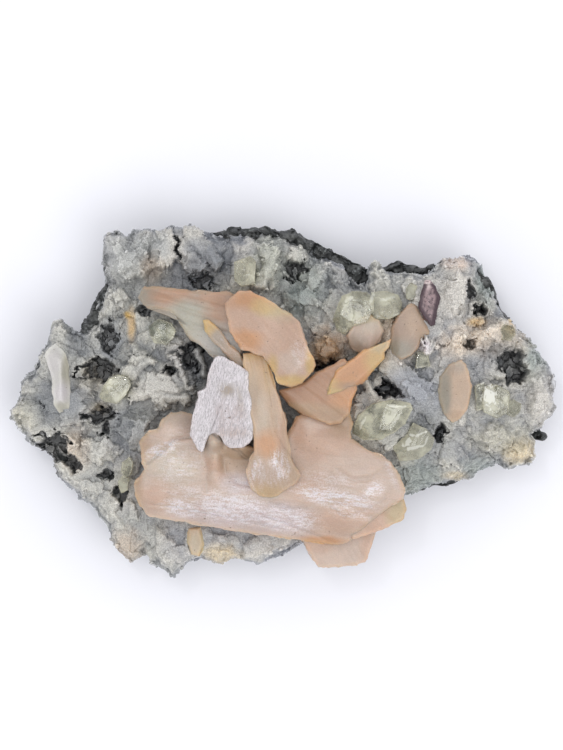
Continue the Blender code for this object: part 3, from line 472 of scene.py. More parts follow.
# single long crystals
CRYSTALS = {
    "stilbite_back_blade": Blade(
        [
            (27.0, 10.8), (26.8, 13.5), (27.0, 17.4), (28.5, 20.2), (30.2, 21.9), (31.9, 23.1),
            (33.4, 22.9), (34.2, 21.1), (35.4, 19.2), (36.9, 17.2), (36.6, 15.7), (34.4, 14.2),
            (33.9, 12.5), (32.2, 10.3), (29.2, 9.3),
        ],
        28.6, -0.04, 0.06, 10.0,
        (((36.1, 18.7, 28.0), (0.5, 0.2)), ((27.8, 13.0, 28.0), (-0.4, -0.1))), 60, 0.0, 0.6,
    ),
    "stilbite_right_blade": Blade(
        [
            (38.8, 0.4), (38.9, 5.1), (41.2, 8.3), (44.2, 9.4), (45.4, 8.3), (46.9, 2.9), (46.2, -2.0),
            (44.2, -5.2), (42.0, -6.0), (39.8, -3.8),
        ],
        29.5, 0.0, 0.05, 11.0,
        (((41.0, 1.4, 29.1), (-0.45, 0.0)), ((43.7, -4.0, 28.7), (0.0, -0.6))), 80, 0.0, 0.5,
    ),
    "stilbite_small_blade": Blade(
        [
            (-23.3, -32.5), (-20.3, -32.3), (-19.3, -36.5), (-20.6, -39.7), (-22.5, -39.2),
            (-23.5, -36.3),
        ],
        22.8, 0.0, 0.1, 6.0, (), 80, 0.0, 0.9,
    ),
    "white_blade": Blade(
        [
            (-56.1, 13.5), (-53.6, 10.8), (-52.8, 7.8), (-52.3, 3.1), (-52.0, -0.6), (-52.6, -3.3),
            (-54.1, -5.0), (-55.6, -3.3), (-56.4, -1.1), (-56.7, 1.9), (-57.0, 5.1), (-58.0, 8.3),
            (-58.8, 10.6), (-57.6, 12.0),
        ],
        27.4, 0.0, 0.02, 8.9,
        (
            ((-52.6, 2.4, 25.6), (0.9, 0.0)),
            ((-57.3, 6.8, 26.0), (-0.5, 0.0)),
            ((-56.6, 12.0, 25.0), (0.0, 0.8)),
            ((-54.1, -3.3, 25.0), (0.1, -0.8)),
        ),
        -78, 0.0, 0.5,
    ),
    "purple_crystal": Blade(
        [
            (35.3, 29.0), (36.5, 29.0), (38.0, 27.5), (39.0, 25.0), (38.5, 22.3), (38.0, 20.4),
            (37.5, 17.9), (36.8, 17.6), (34.8, 19.9), (33.6, 22.3), (34.0, 25.3), (34.8, 27.7),
        ],
        32.0, 0.0, 0.0, 13.0,
        (((38.7, 24.0, 29.9), (0.6, 0.0)), ((34.0, 23.3, 30.4), (-0.4, 0.0))),
        -75, 0.0, 0.35,
    ),
}

# colours of the stilbite by blade: the whole, then places (x, y, reach, reach, colour, share)
COLOURS = {
    "body": (
        PALE_PEACH,
        [
            (-26.7, -4.9, 5.0, 2.6, GREY_TAN, 0.6),
            (-28.4, -9.3, 6.0, 3.0, PALE_PEACH, 0.9),
            (-33.9, -12.3, 2.0, 4.0, TAN, 0.7),
            (-35.4, -22.6, 1.8, 5.5, TAN, 0.7),
            (-26.8, -16.7, 7.0, 4.5, CREAM, 0.9),
            (-30.7, -23.8, 4.0, 4.0, PEACH, 0.8),
            (-16.5, -16.7, 2.6, 4.6, PEACH, 0.9),
            (-16.7, -9.5, 2.4, 1.6, BUFF, 0.8),
            (-16.5, -12.2, 2.6, 3.0, CREAM, 0.6),
            (-17.0, -19.1, 1.2, 1.4, PALE_PEACH, 0.8),
            (-10.7, -14.0, 5.0, 4.0, TAN, 0.95),
            (-10.2, -21.1, 4.5, 2.6, LILAC_GREY, 0.8),
            (-11.4, -28.5, 14.0, 3.6, LILAC_GREY, 0.8),
            (0.9, -30.0, 9.0, 4.0, LILAC_GREY, 0.8),
            (10.6, -11.7, 9.0, 6.5, PEACH, 0.9),
            (15.5, -17.6, 8.0, 4.5, PALE_PEACH, 0.7),
            (6.0, -22.0, 5.0, 4.0, PEACH, 0.6),
            (27.5, -20.6, 3.0, 7.0, PALE_PEACH, 0.9),
            (14.4, -30.5, 9.0, 4.0, PEACH, 0.9),
            (10.0, -35.3, 6.0, 1.2, ORANGE, 0.9),
            (4.0, -7.4, 2.0, 6.0, DEEP_PEACH, 0.8),
            (15.0, -5.4, 4.0, 4.0, TAN, 0.8),
        ],
    ),
    "bottom_slab": (
        PALE_PEACH,
        [
            (10.8, -40.3, 4.0, 3.0, PALE_PEACH, 0.8),
            (21.4, -36.5, 2.0, 5.0, PEACH, 0.7),
            (8.6, -36.8, 3.5, 2.0, PEACH, 0.7),
        ],
    ),
    "right_layer": (PEACH, [(28.4, -28.1, 3.0, 4.0, SAND, 0.9)]),
    "middle_slab": (
        DEEP_PEACH,
        [
            (7.5, 0.5, 5.0, 4.5, DEEP_PEACH, 0.9),
            (15.5, -0.5, 3.5, 4.0, ORANGE, 0.9),
            (4.5, -2.5, 6.0, 1.6, TAN, 0.9),
            (11.9, -4.4, 6.0, 2.4, TAN, 0.8),
            (10.6, 7.3, 5.0, 2.0, DEEP_PEACH, 0.8),
        ],
    ),
    "orange_blade": (
        ORANGE,
        [
            (14.5, 6.1, 3.0, 2.6, ORANGE, 0.9),
            (19.9, 7.6, 3.0, 3.0, ORANGE, 0.8),
            (23.1, 9.0, 3.0, 4.0, STRAW, 0.9),
            (24.1, 12.9, 3.0, 2.0, SAND, 0.9),
            (12.6, 1.9, 2.5, 2.5, STRAW, 0.8),
            (18.7, 2.9, 5.0, 1.2, DEEP_PEACH, 0.9),
        ],
    ),
    "pink_block": (
        PALE_PEACH,
        [
            (18.3, 13.7, 3.0, 3.0, GREY_TAN, 0.7),
            (22.2, 17.9, 3.5, 2.5, CREAM, 0.8),
            (20.5, 19.6, 3.0, 1.2, SAND, 0.8),
        ],
    ),
    "long_blade": (
        GREY_TAN,
        [
            (-34.0, 25.0, 4.0, 3.0, GREY_GLASS, 0.95),
            (-27.4, 25.0, 5.5, 2.6, DEEP_PEACH, 0.9),
            (-16.3, 23.8, 7.0, 2.6, DEEP_PEACH, 0.9),
            (-22.5, 21.1, 5.0, 3.0, DULL_WHITE, 0.9),
            (-15.1, 18.6, 5.0, 4.0, DEEP_PEACH, 0.8),
            (-21.0, 16.6, 5.0, 3.5, DULL_WHITE, 0.9),
            (-14.1, 12.7, 7.0, 5.0, CREAM_GREY, 0.9),
            (-31.0, 27.2, 6.0, 0.5, TAN, 0.8),
        ],
    ),
    "narrow_blade": (
        GREY_TAN,
        [
            (-18.0, 17.8, 2.2, 2.2, STRAW, 0.95),
            (-12.1, 11.7, 3.0, 4.0, BUFF, 0.8),
        ],
    ),
    "top_crystal": (
        PEACH,
        [
            (-8.1, 23.8, 5.0, 3.0, ORANGE, 0.9),
            (-9.8, 19.4, 4.0, 3.0, PEACH, 0.95),
            (-8.6, 14.1, 4.2, 2.6, ORANGE, 0.95),
            (-1.1, 20.9, 5.5, 1.8, SAND, 0.9),
            (-4.7, 22.1, 3.0, 2.0, STRAW, 0.8),
            (0.8, 18.9, 3.0, 1.2, BUFF, 0.9),
            (1.6, 14.0, 5.0, 4.0, PEACH, 0.9),
            (2.5, 8.7, 3.6, 3.0, PALE_PEACH, 0.9),
            (2.1, 4.2, 5.5, 1.5, STRAW, 0.95),
            (-2.3, 7.5, 1.3, 3.4, STRAW, 0.9),
            (6.9, 8.3, 1.2, 3.4, STRAW, 0.9),
        ],
    ),
    # this blade's near-white is painted glare, the light thrown back by its cleavage face
    "silver_blade": (
        GLARE_WHITE,
        [
            (-13.0, 1.9, 2.2, 1.9, GREY_TAN, 1.0),
            (-10.1, -1.0, 1.2, 4.0, GREY_TAN, 0.7),
            (-12.0, -8.3, 3.4, 1.4, BUFF, 0.7),
            (-12.5, -5.4, 4.5, 5.0, LILAC_GREY, 0.8),
            (-14.5, 8.0, 3.0, 3.0, GLARE_WHITE, 0.8),
        ],
    ),
    "column": (
        BUFF,
        [
            (-6.2, 6.3, 4.0, 6.0, HONEY, 0.95),
            (-6.4, 10.2, 3.4, 1.4, STRAW, 0.6),
            (-2.8, 5.8, 1.4, 5.0, STRAW, 0.8),
            (-6.7, 2.0, 2.0, 6.0, GREY_TAN, 0.5),
            (-2.8, -0.5, 2.0, 8.0, BUFF, 0.6),
            (-4.7, -5.3, 1.6, 6.0, CREAM, 0.6),
            (-3.3, -11.2, 3.0, 3.4, ORANGE, 0.9),
            (0.1, -10.2, 1.2, 6.0, PEACH, 0.7),
            (-3.3, -17.5, 5.0, 2.6, PALE_PEACH, 0.8),
            (-3.8, -23.4, 4.6, 2.6, STRAW, 0.45),
            (3.5, -19.5, 2.4, 2.4, BUFF, 0.8),
        ],
    ),
    "stilbite_back_blade": (
        PINK_TAN,
        [
            (33.1, 19.1, 3.0, 4.0, BUFF, 0.8),
            (29.2, 11.8, 4.0, 3.0, GREY_GLASS, 0.9),
            (35.3, 16.4, 2.0, 2.0, TAN, 0.8),
        ],
    ),
    "stilbite_right_blade": (
        BUFF,
        [
            (40.0, 0.7, 2.0, 8.0, GREY_GLASS, 0.9),
            (44.4, 0.7, 2.4, 6.0, BUFF, 0.8),
            (42.7, 7.8, 4.0, 2.0, GREY_TAN, 0.8),
        ],
    ),
    "stilbite_small_blade": (
        SAND,
        [(-22.3, -33.0, 3.0, 1.5, BUFF, 0.6), (-21.8, -36.7, 2.0, 3.0, CREAM, 0.6)],
    ),
    "white_blade": (
        WHITE_FACE,
        [
            (-53.3, 6.3, 1.2, 6.0, DULL_WHITE, 0.9),
            (-56.3, 8.8, 2.0, 4.0, GLARE_WHITE, 0.5),
            (-54.3, 1.4, 2.0, 3.0, GLARE_WHITE, 0.8),
            (-54.3, -2.6, 2.0, 1.6, DULL_WHITE, 0.8),
        ],
    ),
    "purple_crystal": (
        LILAC,
        [
            (35.7, 27.9, 1.2, 1.2, LILAC_GREY, 1.0),
            (36.9, 20.6, 2.0, 3.0, LILAC, 0.8),
        ],
    ),
}

# painted sheen on the stilbite, the pearly light thrown back by its cleavage faces: x, y, half length,
# half width, turn, share
PAINTED_SHEEN_PLACES = [
    (-30.5, -12.7, 3.6, 1.1, 27, 1.2),
    (-24.8, -8.8, 5.0, 2.2, 20, 0.35),
    (-28.7, -12.7, 4.6, 2.0, 25, 0.9),
    (-25.4, -16.7, 7.0, 4.5, 20, 0.6),
    (-22.5, -23.6, 8.0, 2.6, -12, 0.55),
    (-23.7, -27.0, 6.0, 2.4, -7, 1.1),
    (-12.1, -27.0, 10.0, 4.4, -7, 1.05),
    (0.6, -29.5, 9.0, 3.6, -9, 0.95),
    (-10.2, -21.1, 6.0, 2.4, -9, 0.5),
    (11.8, -20.0, 8.0, 2.0, -8, 0.5),
    (12.8, -24.5, 10.5, 2.4, -12, 1.25),
    (16.8, -28.4, 6.0, 1.4, -14, 0.6),
    (22.6, -22.5, 3.0, 2.0, 30, 1.1),
    (26.8, -18.1, 1.2, 5.0, 20, 0.5),
    (-6.2, -17.5, 1.6, 3.2, -20, 0.9),
    (-0.4, -16.5, 2.4, 4.0, 12, 1.0),
    (-3.3, -19.5, 5.0, 2.6, 0, 0.4),
    (4.5, 11.1, 2.6, 5.0, 0, 0.45),
    (-12.1, 12.2, 5.0, 3.2, -40, 0.35),
]

# glassy crystals, one row for each block that is grown together
GEMS = {
    "apophyllite_back": [Gem(
        [(-11.7, 33.5), (-7.8, 35.0), (-6.3, 33.5), (-6.5, 28.0), (-9.7, 27.3), (-11.7, 29.0)],
        29.0, 0.05, 0.15, 10.5, (((-7.3, 33.5, 28.5), (0.6, 0.5)),), 0.3,
    )],
    "apophyllite_centre": [
        Gem(
            [
                (12.6, 19.3), (13.9, 22.8), (14.8, 25.0), (17.3, 26.1), (21.0, 26.1), (22.7, 24.5),
                (22.5, 21.3), (21.0, 18.4), (17.3, 17.4), (15.8, 15.4), (13.6, 16.4),
            ],
            32.0, 0.05, -0.08, 13.5,
            (((14.6, 22.5, 31.4), (-0.8, 0.35)), ((18.8, 24.7, 31.6), (0.1, 0.8)),
             ((15.6, 18.6, 31.6), (-0.35, -0.6))), 0.2,
        ),
        Gem(
            [
                (22.0, 25.8), (25.2, 26.3), (28.7, 25.5), (29.9, 23.1), (29.2, 20.6), (26.2, 19.4),
                (22.8, 19.6), (22.0, 22.1),
            ],
            30.0, 0.05, 0.1, 11.5,
            (((28.2, 24.1, 29.4), (0.7, 0.3)), ((24.3, 25.3, 29.6), (0.0, 0.7))), 0.3,
        ),
    ],
    "apophyllite_front": [
        Gem(
            [
                (17.3, -8.6), (18.7, -4.4), (22.4, -1.3), (27.1, -0.3), (31.5, -1.3), (32.0, -2.7),
                (30.3, -6.4), (27.6, -8.4), (24.4, -10.3), (20.2, -10.3),
            ],
            33.2, 0.06, -0.06, 14.5,
            (((24.8, -4.7, 33.2), (-0.42, 0.15)), ((29.2, -4.7, 33.2), (0.6, -0.33)),
             ((28.2, -1.7, 33.2), (0.0, 0.8)), ((25.6, -8.1, 33.2), (-0.05, -0.7)),
             ((21.2, -3.0, 31.9), (-0.5, 0.6)), ((19.5, -7.4, 30.9), (-0.9, -0.3))), 0.1,
        ),
    ],
    "apophyllite_clear": [Gem(
        [
            (27.3, -12.2), (30.5, -9.7), (32.4, -6.0), (35.6, -7.5), (37.9, -10.2), (37.1, -12.9),
            (33.9, -15.1), (29.0, -15.6),
        ],
        29.5, 0.02, 0.05, 11.0,
        (((36.1, -11.9, 28.0), (0.7, -0.4)), ((29.2, -11.9, 28.0), (-0.6, 0.3)),
         ((32.2, -13.4, 28.4), (0.0, -0.7))), 0.35,
    )],
    "apophyllite_right": [
        Gem(
            [(49.4, 1.9), (52.6, 3.4), (56.0, 1.7), (56.0, -3.3), (53.1, -5.2), (49.6, -3.5)],
            29.6, -0.1, 0.1, 11.1, (((50.4, 1.2, 29.0), (-0.6, 0.5)),), 0.2,
        ),
        Gem(
            [(49.8, 2.6), (51.7, 3.6), (52.7, 1.7), (52.7, -1.0), (51.0, -2.0), (49.5, -0.5)],
            30.3, -0.15, 0.05, 3.0, (), 0.4,
        ),
        Gem(
            [(55.6, -1.1), (57.4, -0.3), (59.1, -1.6), (59.1, -3.5), (57.4, -4.8), (55.6, -4.0)],
            28.0, 0.0, 0.0, 9.5, (((58.3, -3.5, 27.5), (0.6, -0.6)),), 0.2,
        ),
        Gem(
            [(47.7, 2.9), (50.0, 4.1), (50.2, -2.8), (48.0, -3.3)],
            28.5, 0.0, 0.05, 10.0, (), 0.0,
        ),
    ],
    "apophyllite_left": [Gem(
        [
            (-33.0, 17.7), (-30.3, 19.4), (-27.1, 18.4), (-26.1, 16.7), (-26.8, 14.5), (-28.5, 13.0),
            (-31.3, 13.5), (-32.5, 15.5),
        ],
        28.5, -0.05, 0.05, 10.0, (((-32.0, 16.7, 27.8), (-0.7, 0.3)),), 0.0,
    )],
    "apophyllite_left_disc": [Gem(
        [
            (-45.2, 0.4), (-44.2, 2.6), (-42.4, 4.9), (-40.2, 5.8), (-38.0, 5.1), (-37.2, 3.1),
            (-38.5, 0.6), (-40.7, -1.6), (-44.2, -0.8),
        ],
        27.5, 0.02, -0.04, 9.5, (((-44.2, 0.4, 26.5), (-0.5, -0.3)),), 0.3,
    )],
    "apophyllite_front_left": [
        Gem(
            [
                (-39.5, -16.0), (-37.8, -14.7), (-36.6, -16.0), (-37.3, -19.2), (-39.0, -19.9),
                (-39.8, -18.2),
            ],
            26.0, 0.05, 0.05, 9.0, (), 0.1,
        ),
        Gem(
            [(-40.6, -20.7), (-39.4, -19.2), (-37.9, -20.0), (-38.1, -23.0), (-39.9, -23.7)],
            24.5, 0.0, 0.1, 8.0, (), 0.1,
        ),
    ],
    "apophyllite_top_small": [Gem(
        [(30.7, 27.1), (31.9, 28.3), (33.4, 27.6), (33.4, 24.6), (31.9, 23.9), (30.7, 24.6)],
        28.0, 0.0, 0.1, 9.5, (((31.4, 27.1, 27.5), (-0.5, 0.5)),), 0.3,
    )],
    "apophyllite_right_small": [Gem(
        [(53.9, 16.7), (55.1, 18.2), (57.1, 17.9), (57.8, 16.0), (56.6, 14.0), (54.6, 14.2)],
        29.0, 0.0, 0.0, 10.5, (((55.4, 17.2, 28.3), (-0.4, 0.6)),), 0.0,
    )],
    "apophyllite_middle_small": [Gem(
        [(33.4, 11.3), (35.9, 11.3), (36.6, 7.8), (32.9, 7.1)],
        29.0, 0.0, -0.1, 10.5, (), 0.1,
    )],
}

# painted glints on the glassy crystals, light flashing off their faces: x, y, half length, half width,
# turn, share
GLINTS = [
    (31.2, -10.7, 1.6, 0.7, 50, 0.9),
    (33.9, -9.0, 1.6, 0.3, 20, 0.7),
    (33.2, -12.2, 2.4, 0.35, 12, 0.7),
    (35.6, -10.9, 1.4, 0.25, 75, 0.6),
    (51.0, 0.9, 2.9, 1.7, 90, 0.8),
    (16.3, 24.0, 1.6, 0.4, 40, 0.6),
    (22.2, 24.7, 1.2, 0.4, 70, 0.6),
    (25.7, 24.3, 1.6, 0.4, 15, 0.5),
    (28.2, -2.0, 2.4, 0.3, -5, 0.6),
    (27.3, -4.7, 3.0, 1.9, 62, 0.15),
    (19.8, -6.4, 1.8, 0.3, 60, 0.5),
]

# places on the blade painted near-white for glare, where its painted sheen is left out: x, y, half
# length, half width, turn, share
DULL = [
    (-13.0, 1.9, 1.6, 1.3, 30, 0.9),
    (-14.5, 8.3, 1.2, 0.8, 50, 0.5),
    (-10.1, -1.0, 0.9, 3.6, 5, 0.5),
    (-16.9, 0.0, 0.7, 2.4, 20, 0.5),
    (-12.0, -8.3, 3.0, 1.0, 0, 0.4),
]

# noise


# large odd numbers that stir the bits of whole numbers, and the bits that are kept
STIR_X, STIR_Y, STIR_Z, STIR_SEED = 73856093, 19349663, 83492791, 40503
STIR_AGAIN = ((15, 1103515245, 12345), (13, 1274126177, 0))
KEPT_BITS, LAST_BITS = 0x7FFFFFFF, 0xFFFF


def lattice(corner, seed):
    """A fixed random number from 0 to 1 for each whole-number point."""
    n = corner[..., 0] * STIR_X ^ corner[..., 1] * STIR_Y ^ corner[..., 2] * STIR_Z
    n = (n ^ (seed * STIR_SEED)) & KEPT_BITS
    for shift, factor, more in STIR_AGAIN:
        n = ((n ^ (n >> shift)) * factor + more) & KEPT_BITS
    return ((n ^ (n >> 16)) & LAST_BITS) / LAST_BITS


def waves(points, size, seed=0):
    """Value noise from -1 to 1: lattice numbers blended by a smooth step in each axis."""
    p = np.asarray(points, float) / size
    low = np.floor(p).astype(np.int64)
    f = p - low
    f = f * f * (3 - 2 * f)
    total = 0.0
    for dx in (0, 1):
        for dy in (0, 1):
            for dz in (0, 1):
                share = (
                    (f[..., 0] if dx else 1 - f[..., 0])
                    * (f[..., 1] if dy else 1 - f[..., 1])
                    * (f[..., 2] if dz else 1 - f[..., 2])
                )
                total = total + share * lattice(low + np.array([dx, dy, dz]), seed)
    return 2 * total - 1


def nearest(points, size, seed=0):
    """The way to the nearest of one random point per cell, over the size, and its cell."""
    p = np.asarray(points, float) / size
    low = np.floor(p).astype(np.int64)
    best = np.full(p.shape[:-1], np.inf)
    way = np.zeros_like(p)
    home = np.zeros_like(low)
    layers = (-1, 0, 1) if np.ptp(p[..., 2]) > 0 else (0,)
    for dx in (-1, 0, 1):
        for dy in (-1, 0, 1):
            for dz in layers:
                cell = low + np.array([dx, dy, dz])
                spot = cell + np.stack([lattice(cell, seed + k) for k in (1, 2, 3)], -1)
                gap = p - spot
                far = (gap**2).sum(-1)
                closer = far < best
                best = np.where(closer, far, best)
                way = np.where(closer[..., None], gap, way)
                home = np.where(closer[..., None], cell, home)
    return way, home


def facets(points, size, seed=0, tilt=1.0):
    """Flat chips: each cell has a level of its own, -1 to 1, and a slope of its own."""
    way, home = nearest(points, size, seed)
    level = 2 * lattice(home, seed + 7) - 1
    for axis in range(3):
        level = level + 2 * tilt * (lattice(home, seed + 8 + axis) - 0.5) * way[..., axis]
    return level


def step(value, width):
    """0 to 1 across a width about zero, smoothly."""
    share = np.clip(value / width + 0.5, 0, 1)
    return share * share * (3 - 2 * share)


def tears(points, sizes, seeds):
    """A move in each direction: waves of every (depth, size) added up, from its own seed."""
    moves = [
        sum(depth * waves(points, size, seed + k) for k, (depth, size) in enumerate(sizes))
        for seed in seeds
    ]
    return np.stack(moves, -1)


def plates(points, size, seed, edge):
    """Islands: 1 where waves are above zero and 0 elsewhere, with ragged steep borders."""
    torn = 0.22 * waves(points, size * 0.35, seed + 1) + 0.12 * waves(points, size * 0.14, seed + 2)
    return step(waves(points, size, seed) + torn, edge)


# surfaces


def resampled(outline, count, smooth):
    """Points at even steps along the closed outline, each averaged with its neighbours."""
    corners = np.array(outline, float)
    after = np.roll(corners, -1, 0)
    if np.sum(corners[:, 0] * after[:, 1] - corners[:, 1] * after[:, 0]) < 0:
        corners = corners[::-1]
    closed = np.vstack([corners, corners[:1]])
    length = np.concatenate([[0], np.cumsum(np.hypot(*np.diff(closed, axis=0).T))])
    at = np.linspace(0, length[-1], count, endpoint=False)
    points = np.stack([np.interp(at, length, closed[:, k]) for k in (0, 1)], 1)
    for _ in range(smooth):
        points = (np.roll(points, 1, 0) + 2 * points + np.roll(points, -1, 0)) / 4
    return points


def plane(row):
    """Level of the row's tilted top face as a function of x and y."""
    middle = np.mean(row.outline, axis=0)
    return lambda x, y: row.top + row.rise_x * (x - middle[0]) + row.rise_y * (y - middle[1])


def facetted(row, soft):
    """The lowest of the row's top face and its facet planes, as a function of x and y.

    The creases are rounded over about the length soft: the least of several levels is
    taken as -soft * log(sum(exp(-level / soft))).
    """
    level = plane(row)

    def lowest(x, y):
        levels = [level(x, y)]
        for (px, py, pz), (fall_x, fall_y) in row.facets:
            levels.append(pz - fall_x * (x - px) - fall_y * (y - py))
        least = np.min(levels, axis=0)
        return least - soft * np.log(sum(np.exp((least - z) / soft) for z in levels))

    return lowest


def line_gap(x, y, line, closed=False):
    """Distance from each place to the nearest stretch of a line of points."""
    corners = np.array(line, float)
    ends = np.roll(corners, -1, 0) if closed else corners[1:]
    least = np.full(np.shape(x), np.inf)
    for (ax, ay), (bx, by) in zip(corners, ends):
        dx, dy = bx - ax, by - ay
        along = ((x - ax) * dx + (y - ay) * dy) / max(dx * dx + dy * dy, 1e-9)
        along = np.clip(along, 0, 1)
        least = np.minimum(least, np.hypot(x - ax - along * dx, y - ay - along * dy))
    return least


def rim_share(x, y, outline, width):
    """1 at the outline, falling to 0 a width inside it."""
    return np.clip(1 - line_gap(x, y, outline, closed=True) / width, 0, 1)


def bevel(x, y, outline, rim):
    """How far a rounded edge of this radius falls below the top, near the outline."""
    inside = rim_share(x, y, outline, rim)
    return rim * (1 - np.sqrt(1 - inside * inside))


def square_rings(count):
    """A square grid of points: each one's share of the way out, and its turn round it."""
    side = np.linspace(-1, 1, count + 1)
    u, v = np.meshgrid(side, side, indexing="ij")
    out = np.maximum(np.abs(u), np.abs(v))
    a, b = u / np.maximum(out, 1e-9), v / np.maximum(out, 1e-9)
    near = 1 - 1e-6
    turn = np.select(
        [a > near, b > near, a < -near],
        [(b + 1) / 8, 0.25 + (1 - a) / 8, 0.5 + (1 - b) / 8],
        0.75 + (a + 1) / 8,
    )
    return out, turn % 1.0


def rim_order(count):
    """Indices of the grid's border, once round, counter-clockwise."""
    index = np.arange((count + 1) ** 2).reshape(count + 1, count + 1)
    return np.concatenate([index[-1, :-1], index[::-1, -1][:-1], index[0, ::-1][:-1], index[:-1, 0]])


def grid_count(outline, cell, least, most):
    """An even number of grid squares across an outline, each about a cell wide."""
    return 2 * int(np.clip(np.ptp(np.array(outline), axis=0).max() / cell, least, most) / 2)


def patch(outline, roof, floor, count, down, foot, smooth=1, torn=None, side=None, even=0):
    """A closed body over an outline, with its top on a nearly even grid.

    The rings of a square grid become the outline shrunk towards its middle: the two
    parameters are the share of the way out and the turn round the outline. roof and
    floor give z from x and y. The side goes down in rows, drawing in to foot times
    the outline. torn moves places in the plane, and side moves the side in or out.
    even averages the rim round about for the rows below it, so that its tears don't
    run straight down: the averaged rim takes over in the top fifth of the side. Two
    smaller rings and the middle close the underside.
    """
    edge = resampled(outline, 6 * count, smooth)
    low, high = edge.min(0), edge.max(0)
    middle = (low + high) / 2
    lean = (edge - middle) / (high - low)
    turns = np.arctan2(lean[:, 1], lean[:, 0])
    off = turns[:, None] - np.radians([-45, 45, 135, 225])
    corners = np.abs(np.angle(np.exp(1j * off))).argmin(0)
    edge = np.roll(edge, -corners[0], 0)
    knots = [(c - corners[0]) % len(edge) for c in corners] + [len(edge)]
    out, turn = square_rings(count)
    at = np.interp(turn, [0, 0.25, 0.5, 0.75, 1], knots)
    ring = np.vstack([edge, edge[:1]])
    x, y = (np.interp(at, np.arange(len(ring)), ring[:, k]) for k in (0, 1))
    xy = (middle + out[..., None] * (np.stack([x, y], -1) - middle)).reshape(-1, 2)
    border = rim_order(count)
    if torn is not None:
        xy = xy + torn(xy)
    top = np.column_stack([xy, roof(xy[:, 0], xy[:, 1])])
    index = np.arange((count + 1) ** 2).reshape(count + 1, count + 1)
    a, b, c, d = index[:-1, :-1], index[1:, :-1], index[1:, 1:], index[:-1, 1:]
    # each square is cut along the line that runs out from the middle
    i, j = np.indices((count, count))
    falls = ((2 * i + 1 - count) * (2 * j + 1 - count) < 0)[..., None]
    first = np.where(falls, np.stack([a, b, d], -1), np.stack([a, b, c], -1))
    second = np.where(falls, np.stack([b, c, d], -1), np.stack([a, c, d], -1))
    faces = [first.reshape(-1, 3), second.reshape(-1, 3)]
    points = [top]
    rim = top[border]
    spokes = rim[:, :2] - middle
    soft = spokes
    for _ in range(even):
        soft = (np.roll(soft, 1, 0) + soft + np.roll(soft, -1, 0)) / 3
    reach = np.maximum(np.hypot(*spokes.T), 1e-6)
    bottom = floor(rim[:, 0], rim[:, 1])
    last, total = border, len(top)
    shares = [(d, 1 - (1 - foot) * d * d) for d in np.linspace(0, 1, down + 1)[1:]]
    shares += [(1.0, foot * 0.6), (1.0, foot * 0.25)]
    for d, scale in shares:
        share = min(1, 5 * d)
        place = middle + (spokes * (1 - share) + soft * share) * scale
        height = rim[:, 2] * (1 - d) + bottom * d
        if side is not None and scale >= foot:
            shift = side(np.column_stack([place, height])) * min(1, 4 * d)
            place = place + spokes / reach[:, None] * shift[:, None]
        points.append(np.column_stack([place, height]))
        now = total + np.arange(len(border))
        p, q = np.roll(last, -1), np.roll(now, -1)
        faces += [np.stack([now, q, p], -1), np.stack([now, p, last], -1)]
        last, total = now, total + len(border)
    points.append(np.append(middle, floor(middle[:1], middle[1:])[0])[None])
    faces.append(np.stack([np.full(len(last), total), np.roll(last, -1), last], -1))
    return np.concatenate(points), np.concatenate(faces)


def ball_faces(around, rings):
    """Triangles of a closed ball: a pole, rings of points, a pole."""
    ring = np.arange(around)
    after = (ring + 1) % around
    top = np.stack([np.zeros(around, int), 1 + ring, 1 + after], 1)
    level = 1 + around * np.arange(rings - 1)[:, None]
    a, b = level + ring, level + after
    c, d = a + around, b + around
    sides = np.concatenate([np.stack([a, c, d], -1), np.stack([a, d, b], -1)], 1)
    end = 1 + around * rings
    last = end - around
    foot = np.stack([np.full(around, end), last + after, last + ring], 1)
    return np.concatenate([top, sides.reshape(-1, 3), foot])


def ball(around, rings):
    """Points of a unit ball: a pole, rings from the top down, a pole."""
    lat = np.linspace(0, math.pi, rings + 2)[1:-1, None]
    lon = np.linspace(0, 2 * math.pi, around, endpoint=False)[None, :]
    sides = np.stack([np.sin(lat) * np.cos(lon), np.sin(lat) * np.sin(lon), np.cos(lat) + 0 * lon], -1)
    return np.vstack([[0, 0, 1], sides.reshape(-1, 3), [0, 0, -1]])


def joined(parts):
    """Several shapes as one: each is its points, its faces and then fields of the points."""
    points, faces, *fields = zip(*parts)
    starts = np.cumsum([0] + [len(p) for p in points[:-1]])
    faces = [f + start for f, start in zip(faces, starts)]
    return [np.concatenate(part) for part in (points, faces, *fields)]


def scattered(points, faces, count):
    """Random places on the surface, evenly by area, with their normals."""
    a, b, c = (points[faces[:, k]] for k in range(3))
    normal = np.cross(b - a, c - a)
    area = np.linalg.norm(normal, axis=1)
    pick = random.choice(len(faces), count, p=area / area.sum())
    u, v = random.random((2, count, 1))
    flip = u + v > 1
    u, v = np.where(flip, 1 - u, u), np.where(flip, 1 - v, v)
    return a[pick] + u * (b - a)[pick] + v * (c - a)[pick], normal[pick] / area[pick][:, None]


def leaning(normals, spread):
    """Unit directions about the normals, leaning away at random."""
    lean = normals + spread * random.normal(size=normals.shape)
    return lean / np.linalg.norm(lean, axis=1)[:, None]


def turned(axis):
    """A turning matrix for each unit axis, taking z to it with a random spin."""
    other = np.where(np.abs(axis[:, :1]) > 0.9, [[0, 1, 0]], [[1, 0, 0]])
    side = np.cross(axis, other)
    side /= np.linalg.norm(side, axis=1)[:, None]
    third = np.cross(axis, side)
    spin = random.random((len(axis), 1)) * 2 * math.pi
    first = np.cos(spin) * side + np.sin(spin) * third
    return np.stack([first, np.cross(axis, first), axis], -1)


def copies(shape, places, axes, sizes):
    """The shape's points at every place, turned to its axis and sized in its own x, y, z."""
    solid = np.einsum("nij,nkj->nki", turned(axes), shape[None] * sizes[:, None, :])
    return solid + places[:, None, :]


